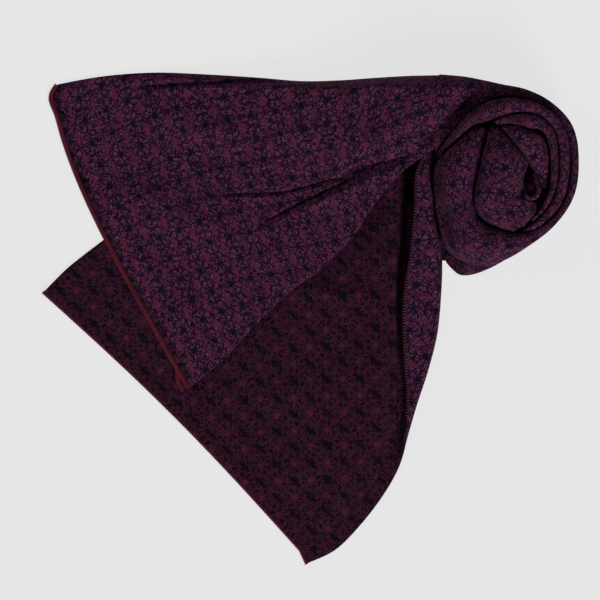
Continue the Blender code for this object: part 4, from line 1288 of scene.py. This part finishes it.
@dataclass
class LowerTail:
    """The tail below, wrong side up, its long side folded over as a flap."""

    rows: int = 190
    across: int = 72
    fine: int = 66
    fine_from: float = 0.74
    turn: int = 12
    flap: int = 18
    flap_shift: float = 6.0
    lead: float = 16.0
    lead_shift: float = 3.0
    crown: float = 0.7

    def section(self, place: float) -> tuple[np.ndarray, np.ndarray]:
        """Points of the under face across the tail, and their plan positions opened out.

        Args:
            place: the place in the table, a row's number with a fraction.

        Returns:
            The points, and their opened plan positions.
        """
        row = row_at(LOWER_TAIL, place)
        run = line_direction(LOWER_TAIL, place, "side")
        outward = np.array([run[1], -run[0]])
        curl = radians(max(row.curl, 1.0))
        radius = pi * row.curl_r / curl
        reach = radius if curl > 0.5 * pi else radius * sin(curl) + row.flap * cos(curl)
        rise = 1.0 + (row.flap_z / (2.0 * row.curl_r) - 1.0) * ease((row.curl - 60.0) / 120.0)
        left = np.array([row.left_x, row.left_y])
        foot = np.array([row.side_x, row.side_y]) - outward * reach
        inward = np.array([left[1] - foot[1], foot[0] - left[0]])
        inward /= np.hypot(*inward)
        bead = 2.0 * TURNED_HEM_RADIUS - RIM_SINK
        climb = bead * (1.0 - ease((place - BEAD_SHARE) / BEAD_RUN))

        share = np.concatenate([np.linspace(0.0, self.fine_from, self.across)[:-1],
                                np.linspace(self.fine_from, 1.0, self.fine)])
        level = left + (foot - left) * share[:, None] + inward * (row.bow * np.sin(pi * share))[:, None]
        calm = ease((1.0 - share) / 0.06) * ease(share / 0.1) * ease(place / END_CALM)
        swell = row.swell * ease((1.0 - share) / 0.35)
        pressed = calm * crease_depth(LOWER_CREASES, level[:, 0], level[:, 1])
        ripple = (RIPPLE * np.sin(level[:, 0] / RIPPLE_X + RIPPLE_SHIFT)
                  * np.sin(level[:, 1] / RIPPLE_Y) * calm)
        base = np.column_stack([level, np.maximum(swell - pressed + ripple, 0.0) + climb])
        angle = curl * np.arange(1, self.turn + 1) / self.turn
        bend = np.column_stack([foot + outward * (radius * np.sin(angle))[:, None],
                                base[-1, 2] + rise * radius * (1.0 - np.cos(angle))])
        step = row.flap * np.arange(1, self.flap + 1) / self.flap
        lean = 0.05 * step * ease((row.curl - 120.0) / 60.0)
        crown = (-self.crown * np.sin(pi * np.minimum(step / max(row.flap, 1.0), 1.0))
                 * ease((row.flap - 5.0) / 10.0))
        flap = np.column_stack([bend[-1, :2] + outward * (step * cos(curl))[:, None],
                                bend[-1, 2] + step * sin(curl) + lean + crown])
        points = np.vstack([base, bend, flap])
        beyond = np.concatenate([radius * angle, radius * curl + step])
        opened = np.vstack([level, foot + outward * beyond[:, None]])
        return points, opened

    def build(self, palette: Palette) -> bpy.types.Object:
        """Args:
            palette: the materials.

        Returns:
            The tail's cloth.
        """
        first = np.linspace(0.0, 1.0, 22)[:-1]
        rest = np.linspace(1.0, len(LOWER_TAIL) - 1.0, self.rows - 21)
        made = [self.section(place) for place in np.concatenate([first, rest])]
        points = np.array([points for points, _ in made])
        opened = np.array([opened for _, opened in made])
        flat = LOWER_SLANT.flat(opened)
        pattern = flat.copy()
        side = self.across + self.fine - 1
        beyond = np.linalg.norm(opened[:, side:] - opened[:, side - 1:side], axis=2)
        run = arc_length(opened[:, side - 1])
        pattern[:, side:, 0] = beyond + self.flap_shift
        pattern[:, side:, 1] = run[:, None]
        points, flat, pattern = (self.below_neck(grid) for grid in (points, flat, pattern))
        sheet = Sheet("lower_tail_cloth", points, flat, pattern, flip=True)
        cloth = sheet.loft(palette, Face.RIGHT)
        sheet.declare(cloth, ["lower_tail"])
        return cloth

    def below_neck(self, grid: np.ndarray) -> np.ndarray:
        """Carry a grid on below the upper tail, past the table's last line.

        Args:
            grid: rows of points, or of flat positions.

        Returns:
            The longer grid.
        """
        beyond = np.array([self.lead_shift, self.lead, 0.0] if grid.shape[2] == 3 else [0.0, self.lead])
        return np.concatenate([grid, grid[-1:] + beyond])

    def flap_line(self) -> np.ndarray:
        """The flap's free edge, from where the side starts to turn over up to the neck.

        Returns:
            The edge, in millimetres.
        """
        ends = [self.section(place)[0][-1] for place in np.linspace(5.6, len(LOWER_TAIL) - 1.0, 160)]
        return np.array(ends) + np.array([0.0, 0.0, 0.5 * CLOTH])

    def rim_line(self) -> np.ndarray:
        """Middle line of the end's rolled rim, which lies below the cloth's edge.

        Returns:
            The line, in millimetres.
        """
        edge, _ = self.section(0.0)
        edge = edge[np.concatenate([[True], np.diff(arc_length(edge)) > 0.01])]
        along = np.gradient(edge[:, :2], axis=0)
        along /= np.hypot(along[:, 0], along[:, 1])[:, None]
        outward = np.column_stack([along[:, 1], -along[:, 0]]) * (RIM_SHOWS - TURNED_HEM_RADIUS)
        return np.column_stack([edge[:, :2] + outward, np.full(len(edge), TURNED_HEM_RADIUS)])


@dataclass
class RollTurn:
    """One turn of the roll, lofted through its table."""

    name: str
    node: str
    table: Sequence[Turn]
    step: float = 2.0
    side: int = 12
    cap: int = 12
    start_across: float = 0.0
    start_along: float = 0.0
    lead: float = 0.0
    dip: float = 0.0
    lap: float = 0.0
    lofted: Face = Face.RIGHT

    def section(self, row: Turn) -> tuple[np.ndarray, float]:
        """Points across the turn, up its outer wall, over its crest and down its inner wall.

        Args:
            row: the table's row.

        Returns:
            The points, and the turn's width.
        """
        out, inner = np.array([row.out_x, row.out_y]), np.array([row.in_x, row.in_y])
        across = (inner - out) / np.hypot(*(inner - out))
        on_floor = ease((20.0 - row.foot_z) / 12.0)
        clear = 0.5 * GAP
        start = clear * (1.0 - on_floor)
        width = np.hypot(*(inner - out)) - start - clear
        out_width, in_width = row.crest_at * width, (1.0 - row.crest_at) * width
        roundness = ROUND + FULL_ROUND * on_floor * ease((out_width - 5.0) / 6.0)
        out_rise = min(0.8 * (row.crest_z - row.foot_z), roundness * out_width)
        in_rise = min(0.8 * (row.crest_z - row.in_z), ROUND * in_width)

        up = np.arange(self.side) / self.side
        shoulder = row.crest_z - out_rise
        raised = ease((LOW_FOOT - row.foot_z) / LOW_FOOT_RUN) * ease((row.foot_z - OFF_FLOOR) / OFF_FLOOR_RUN)
        foot = row.foot_z - SKIRT * raised
        wall = np.column_stack([row.tuck * (1.0 - up) ** 2, foot + up * (shoulder - foot)])
        angle = 0.5 * pi * np.arange(self.cap + 1) / self.cap
        climb = np.column_stack([out_width * (1.0 - np.cos(angle)), shoulder + out_rise * np.sin(angle)])
        angle = 0.5 * pi * (1.0 - np.arange(1, self.cap + 1) / self.cap)
        fall = np.column_stack([width - in_width * (1.0 - np.cos(angle)),
                                row.crest_z - in_rise + in_rise * np.sin(angle)])
        drop = np.array([[width + self.lap, row.in_z - self.lap]])
        profile = np.vstack([wall, climb, fall, drop])
        points = np.column_stack([out + across * (start + profile[:, :1]), profile[:, 1]])
        return points, width

    def build(self, palette: Palette) -> bpy.types.Object:
        """Args:
            palette: the materials.

        Returns:
            The turn's cloth.
        """
        crests = np.array([[row.out_x + row.crest_at * (row.in_x - row.out_x),
                            row.out_y + row.crest_at * (row.in_y - row.out_y)] for row in self.table])
        count = max(12, int(arc_length(crests)[-1] / self.step))
        made = [self.section(row_at(self.table, place))
                for place in np.linspace(0.0, len(self.table) - 1.0, count)]
        points = np.array([points for points, _ in made])
        widths = np.array([width for _, width in made])
        if self.lead:
            step = points[0] - points[1]
            first = points[0] + step * self.lead / np.linalg.norm(step, axis=1).mean()
            first[:, 2] = np.minimum(points[0, :, 2], first[:, 2]) - self.dip
            points = np.concatenate([first[None], points])
            widths = np.concatenate([widths[:1], widths])
        calm = np.ones(points.shape[1])
        calm[:self.side] = np.linspace(0.0, 1.0, self.side)
        calm[-4:] = 0.0
        points[..., 2] -= calm * crease_depth(ROLL_CREASES, points[..., 0], points[..., 1])
        crest = self.side + self.cap
        across = np.array([arc_length(line) - arc_length(line)[crest] for line in points])
        along = arc_length(points[:, crest])
        flat = np.stack([across + self.start_across,
                         np.broadcast_to((along + self.start_along)[:, None], across.shape)], -1)
        sheet = Sheet(self.name, points, flat, flat, wall=np.minimum(1.0, widths / TIP_WIDTH))
        cloth = sheet.loft(palette, self.lofted)
        sheet.declare(cloth, [self.node])
        return cloth


@dataclass
class FoldedLayer:
    """The folded layer that looks out below the outer turn."""

    rows: int = 40
    turn: int = 14
    deep: int = 6

    def section(self, row: Layer) -> np.ndarray:
        """Points along the under face, round the turn and back over the top.

        Args:
            row: the table's row.

        Returns:
            The points.
        """
        out, inner = np.array([row.out_x, row.out_y]), np.array([row.in_x, row.in_y])
        inward = (inner - out) / np.hypot(*(inner - out))
        half = 0.5 * row.height
        depth = np.hypot(*(inner - out)) - half
        share = np.arange(self.deep) / self.deep
        angle = pi * np.arange(self.turn + 1) / self.turn - 0.5 * pi
        profile = np.vstack([
            np.column_stack([half + depth * (1.0 - share), np.zeros(self.deep)]),
            np.column_stack([half * (1.0 - np.cos(angle)), half + half * np.sin(angle)]),
            np.column_stack([half + depth * (share + 1.0 / self.deep), np.full(self.deep, row.height)])])
        return np.column_stack([out + inward * profile[:, :1], profile[:, 1]])

    def build(self, palette: Palette) -> bpy.types.Object:
        """Args:
            palette: the materials.

        Returns:
            The layer's cloth.
        """
        points = np.array([self.section(row_at(LOWER_LAYER, place))
                           for place in np.linspace(0.0, len(LOWER_LAYER) - 1.0, self.rows)])
        across = np.array([arc_length(line) for line in points])
        along = arc_length(points[:, self.deep + self.turn // 2])
        flat = np.stack([across, np.broadcast_to(along[:, None], across.shape)], -1)
        sheet = Sheet("lower_layer_cloth", points, flat, flat, flip=True)
        cloth = sheet.loft(palette, Face.RIGHT)
        sheet.declare(cloth, ["roll_lower_layer"])
        return cloth


@dataclass
class TuckedStrip:
    """The strip of cloth on the floor between the flap and the roll, deep in their crack."""

    near: tuple[float, float] = (107.5, 45.0)
    bend: tuple[float, float] = (98.0, 92.0)
    far: tuple[float, float] = (99.0, 146.0)
    width: float = 12.0
    climb: float = 27.0
    height: float = 2.4
    rows: int = 24
    columns: int = 8

    def build(self, palette: Palette) -> bpy.types.Object:
        """Args:
            palette: the materials.

        Returns:
            The strip's cloth.
        """
        share = np.linspace(0.0, 1.0, self.rows)[:, None]
        ends = [np.array(spot) for spot in (self.near, self.bend, self.far)]
        middle = (1.0 - share) ** 2 * ends[0] + 2.0 * share * (1.0 - share) * ends[1] + share ** 2 * ends[2]
        across = (np.linspace(0.0, 1.0, self.columns) - 0.5) * self.width
        spots = np.repeat(middle[:, None], self.columns, axis=1)
        spots[..., 0] += across
        level = self.height + self.climb * np.broadcast_to(ease((share - 0.5) / 0.5), spots.shape[:2])
        points = np.concatenate([spots, level[..., None]], axis=2)
        along = arc_length(middle)
        flat = np.stack([np.broadcast_to(across, level.shape),
                         np.broadcast_to(along[:, None], level.shape)], -1)
        sheet = Sheet("tucked_strip_cloth", points, flat, flat, flip=True)
        cloth = sheet.loft(palette, Face.RIGHT)
        sheet.declare(cloth, [])
        return cloth


@dataclass
class HiddenFolds:
    """What shows of the layers below the roll and in its cracks."""

    levels: int = 1

    def build(self, palette: Palette, node: bpy.types.Object) -> bpy.types.Object:
        """Copy the solid, soften it and give it the cloth map from its plan position.

        Args:
            palette: the materials.
            node: the CAD node.

        Returns:
            The piece that stands for it.
        """
        mesh = node.data.copy()
        mesh.name = "hidden_fold_cloth"
        made = bpy.data.objects.new("hidden_fold_cloth", mesh)
        bpy.context.scene.collection.objects.link(made)
        mesh.materials.clear()
        mesh.materials.append(palette.right)
        weld = made.modifiers.new("weld", "WELD")
        weld.merge_threshold = 0.01 * MM
        soft = made.modifiers.new("soft", "SUBSURF")
        soft.levels = soft.render_levels = self.levels
        plain(made)
        mesh = made.data
        for layer in list(mesh.uv_layers):
            mesh.uv_layers.remove(layer)
        layer = mesh.uv_layers.new(name=CLOTH_MAP)
        for loop, place in zip(mesh.loops, layer.data):
            spot = mesh.vertices[loop.vertex_index].co
            place.uv = (spot.x * 0.8 + spot.z, spot.y)
        mesh.shade_smooth()
        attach(made, BODY)
        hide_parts("hidden_layers")
        LOG.info("%s: %d faces", made.name, len(mesh.polygons))
        return made


class GeometryTree:
    """A Geometry Nodes tree, built one node at a time, that works on a line of edges."""

    def __init__(self, name: str, sizes: dict[str, float]) -> None:
        """Start a tree with named size inputs.

        Args:
            name: the tree's name.
            sizes: each input's name and value, in metres.
        """
        self.tree = bpy.data.node_groups.new(name, "GeometryNodeTree")
        self.sizes = sizes
        face = self.tree.interface
        face.new_socket("Geometry", in_out="INPUT", socket_type="NodeSocketGeometry")
        for label, value in sizes.items():
            face.new_socket(label, in_out="INPUT", socket_type="NodeSocketFloat").default_value = value
        face.new_socket("Geometry", in_out="OUTPUT", socket_type="NodeSocketGeometry")
        self.start = self.tree.nodes.new("NodeGroupInput")
        self.end = self.tree.nodes.new("NodeGroupOutput")

    def node(self, kind: str, settings: dict | None = None, inputs: dict | None = None) -> bpy.types.Node:
        """Add a node with its settings, then its values and links.

        Args:
            kind: the node's type.
            settings: its own properties, set first.
            inputs: values or links for its inputs, by name or index.

        Returns:
            The node.
        """
        made = self.tree.nodes.new(kind)
        for name, value in (settings or {}).items():
            setattr(made, name, value)
        for key, value in (inputs or {}).items():
            if isinstance(value, bpy.types.NodeSocket):
                self.tree.links.new(value, made.inputs[key])
            else:
                made.inputs[key].default_value = value
        return made

    def dressed(self, geometry: bpy.types.NodeSocket, finish: bpy.types.Material) -> bpy.types.NodeSocket:
        """Realize instances and give them one material.

        Args:
            geometry: what to dress.
            finish: its material.

        Returns:
            The dressed geometry.
        """
        real = self.node("GeometryNodeRealizeInstances", None, {0: geometry})
        made = self.node("GeometryNodeSetMaterial", None, {"Geometry": real.outputs[0]})
        made.inputs["Material"].default_value = finish
        return made.outputs[0]

    def close(self, *parts: bpy.types.NodeSocket) -> None:
        """Join the dressed parts and end the tree.

        Args:
            parts: the dressed parts.
        """
        whole = self.node("GeometryNodeJoinGeometry")
        for part in parts:
            self.tree.links.new(part, whole.inputs[0])
        self.tree.links.new(whole.outputs[0], self.end.inputs[0])

    def run(self, name: str, line: np.ndarray) -> bpy.types.Object:
        """Run the tree on a line and keep the result as a plain mesh.

        Args:
            name: the piece's name.
            line: its points, in millimetres.

        Returns:
            The finished piece.
        """
        mesh = bpy.data.meshes.new(name)
        edges = [(k, k + 1) for k in range(len(line) - 1)]
        mesh.from_pydata((line * MM).tolist(), edges, [])
        made = bpy.data.objects.new(name, mesh)
        bpy.context.scene.collection.objects.link(made)
        modifier = made.modifiers.new("stitches", "NODES")
        modifier.node_group = self.tree
        for item in self.tree.interface.items_tree:
            if item.item_type == "SOCKET" and item.in_out == "INPUT" and item.name in self.sizes:
                modifier[item.identifier] = self.sizes[item.name]
        plain(made)
        made.data.shade_smooth()
        return made


@dataclass(frozen=True)
class RolledHem:
    """A rolled rim: a core with a ring of knit at every stitch, its dark core painted shade between the
    rings.
    """

    radius: float
    pitch: float = 1.6
    strand: float = 0.55
    ring_sides: int = 14
    strand_sides: int = 6

    def build(self, name: str, line: np.ndarray, finish: bpy.types.Material,
              core_shade_finish: bpy.types.Material) -> bpy.types.Object:
        """Wind the rings along the rim's middle line.

        Args:
            name: the piece's name.
            line: the middle line, in millimetres.
            finish: the rings' wool.
            core_shade_finish: the dark wool that shows between them, painted shade between the rings.

        Returns:
            The finished rim.
        """
        sizes = {"Radius": (self.radius - self.strand) * MM, "Pitch": self.pitch * MM,
                 "Strand": self.strand * MM}
        tree = GeometryTree(name + "_tree", sizes)
        given = tree.start.outputs
        path = tree.node("GeometryNodeMeshToCurve", None, {"Mesh": given["Geometry"]})
        even = tree.node("GeometryNodeResampleCurve", {"mode": "LENGTH"},
                         {"Curve": path.outputs[0], "Length": given["Pitch"]})
        round_profile = tree.node("GeometryNodeCurvePrimitiveCircle", None,
                                  {"Resolution": self.ring_sides, "Radius": given["Radius"]})
        strand = tree.node("GeometryNodeCurvePrimitiveCircle", None,
                           {"Resolution": self.strand_sides, "Radius": given["Strand"]})
        core = tree.node("GeometryNodeCurveToMesh", None, {
            "Curve": path.outputs[0], "Profile Curve": round_profile.outputs[0], "Fill Caps": True})
        ring = tree.node("GeometryNodeCurveToMesh", None, {
            "Curve": round_profile.outputs[0], "Profile Curve": strand.outputs[0]})
        tangent = tree.node("GeometryNodeInputTangent")
        facing = tree.node("FunctionNodeAlignRotationToVector", {"axis": "Z"},
                           {"Vector": tangent.outputs[0]})
        rings = tree.node("GeometryNodeInstanceOnPoints", None, {
            "Points": even.outputs[0], "Instance": ring.outputs[0], "Rotation": facing.outputs[0]})
        tree.close(tree.dressed(core.outputs[0], core_shade_finish), tree.dressed(rings.outputs[0], finish))
        return tree.run(name, line)


@dataclass
class Trims:
    """Rolled rims and edge stitches."""

    palette: Palette

    def rim(self, name: str, node: str, line: np.ndarray, radius: float) -> None:
        """Add one rolled rim in place of its node.

        Args:
            name: the piece's name.
            node: the CAD node that it replaces.
            line: the middle line, in millimetres.
            radius: its radius, in millimetres.
        """
        piece = RolledHem(radius).build(name, line, self.palette.rim, self.palette.rim_core)
        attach(piece, BODY)
        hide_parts(node)
        LOG.info("%s: %d faces", name, len(piece.data.polygons))

    def edge(self, name: str, line: np.ndarray, radius: float) -> None:
        """Add the ribbed edge of one long side.

        Args:
            name: the piece's name.
            line: the middle line, in millimetres.
            radius: its radius, in millimetres.
        """
        hem = RolledHem(radius, pitch=EDGE_PITCH, strand=EDGE_STRAND)
        piece = hem.build(name, line, self.palette.edge, self.palette.edge_core)
        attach(piece, BODY)
        LOG.info("%s: %d faces", name, len(piece.data.polygons))


@dataclass(frozen=True)
class Studio:
    """Pale floor, soft light, and the camera straight above."""

    aim_x: float = -7.3
    aim_y: float = 14.65
    frame_width: float = 462.6
    lens: float = 900.0
    sensor: float = 36.0
    key_power: float = 186.0
    fill_power: float = 10.0
    sky: float = 0.20

    def floor(self, palette: Palette) -> None:
        """Lay the floor.

        Args:
            palette: the materials.
        """
        mesh = bpy.data.meshes.new("pale_floor")
        half = 4.0
        mesh.from_pydata([(-half, -half, 0), (half, -half, 0), (half, half, 0), (-half, half, 0)],
                         [], [(0, 1, 2, 3)])
        mesh.materials.append(palette.floor)
        made = bpy.data.objects.new("pale_floor", mesh)
        bpy.context.scene.collection.objects.link(made)

    def softbox(self, name: str, place: tuple[float, float, float], size: float, power: float) -> None:
        """Hang one square area light that faces the scarf.

        Args:
            name: the light's name.
            place: where it hangs, in metres.
            size: the light's side, in metres.
            power: its power, in watts.
        """
        light = bpy.data.lights.new(name, "AREA")
        light.shape = "SQUARE"
        light.size = size
        light.energy = power
        made = bpy.data.objects.new(name, light)
        made.location = place
        made.rotation_euler = (-Vector(place)).to_track_quat("-Z", "Y").to_euler()
        bpy.context.scene.collection.objects.link(made)

    def light(self) -> None:
        """Light the scene: an even sky, a broad key from the front right and a weak fill."""
        world = bpy.data.worlds.new("soft_sky")
        bpy.context.scene.world = world
        world.use_nodes = True
        sky = world.node_tree.nodes["Background"]
        sky.inputs["Color"].default_value = (1.0, 1.0, 1.0, 1.0)
        sky.inputs["Strength"].default_value = self.sky
        self.softbox("key", (1.50, -2.80, 2.40), 1.1, self.key_power)
        self.softbox("fill", (-1.25, 0.60, 0.85), 0.8, self.fill_power)
        bpy.context.scene.view_settings.view_transform = "Standard"

    def camera(self) -> None:
        """Set the camera straight above the layout, its top towards the far side."""
        data = bpy.data.cameras.new("camera")
        data.lens = self.lens
        data.sensor_width = self.sensor
        data.clip_end = 100.0
        made = bpy.data.objects.new("camera", data)
        distance = self.lens / self.sensor * self.frame_width
        made.location = (self.aim_x * MM, self.aim_y * MM, distance * MM)
        bpy.context.scene.collection.objects.link(made)
        bpy.context.scene.camera = made


def roll_turns() -> list[RollTurn]:
    """The roll's turns, from the outermost to the innermost.

    Returns:
        The turns, ready to build.
    """
    return [
        RollTurn("outer_turn_cloth", "roll_outer_turn", OUTER_TURN, start_across=SEAM_ACROSS,
                 start_along=SEAM_ALONG, lead=3.0, dip=0.3, lap=1.8),
        RollTurn("second_turn_cloth", "roll_second_turn", SECOND_TURN, step=1.5, start_across=4.0,
                 lead=6.5, dip=4.0, lap=1.0),
        RollTurn("third_turn_cloth", "roll_third_turn", THIRD_TURN, step=1.5, start_across=7.0),
        RollTurn("centre_panel_cloth", "roll_centre_panel", CENTRE_PANEL, step=1.0, start_across=-3.0,
                 lofted=Face.WRONG),
        RollTurn("inner_fold_cloth", "roll_inner_fold", INNER_FOLD, step=1.0, start_across=3.0,
                 lofted=Face.WRONG),
        RollTurn("swirl_cloth", "roll_swirl", HEART_FOLD, step=0.8, start_across=5.0),
    ]


def turned_edge() -> np.ndarray:
    """The ribbed edge that lies along the first stretch of the second turn.

    Returns:
        The edge's middle line, in millimetres.
    """
    line = []
    for place in np.linspace(0.0, TURN_EDGE_ROWS, 60):
        row = row_at(SECOND_TURN, place)
        crest = row.crest_at + TURN_EDGE_SHIFT
        line.append([row.out_x + crest * (row.in_x - row.out_x),
                     row.out_y + crest * (row.in_y - row.out_y), row.crest_z - 0.4 * TURN_EDGE_RADIUS])
    return np.array(line)


def main() -> None:
    """Build the scarf on its frame, then the studio."""
    logging.basicConfig(level=logging.INFO, format="%(name)s %(message)s")
    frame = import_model()
    palette = Palette.mixed()
    studio = Studio()
    studio.floor(palette)

    upper, lower = UpperTail(), LowerTail()
    upper.build(palette)
    lower.build(palette)
    for turn in roll_turns():
        turn.build(palette)
    FoldedLayer().build(palette)
    TuckedStrip().build(palette)
    HiddenFolds().build(palette, frame["nodes"]["hidden_layers"])

    trims = Trims(palette)
    trims.rim("upper_rim", "upper_end_hem", upper.rim_line(tucked=False), HEM_RADIUS)
    trims.rim("upper_rim_tucked", "upper_end_hem_tucked", upper.rim_line(tucked=True), HEM_RADIUS)
    trims.rim("lower_rim", "lower_end_hem", lower.rim_line(), TURNED_HEM_RADIUS)
    trims.edge("flap_edge", lower.flap_line(), FLAP_EDGE_RADIUS)
    trims.edge("second_turn_edge", turned_edge(), TURN_EDGE_RADIUS)

    studio.light()
    studio.camera()


if __name__ == "__main__":
    main()
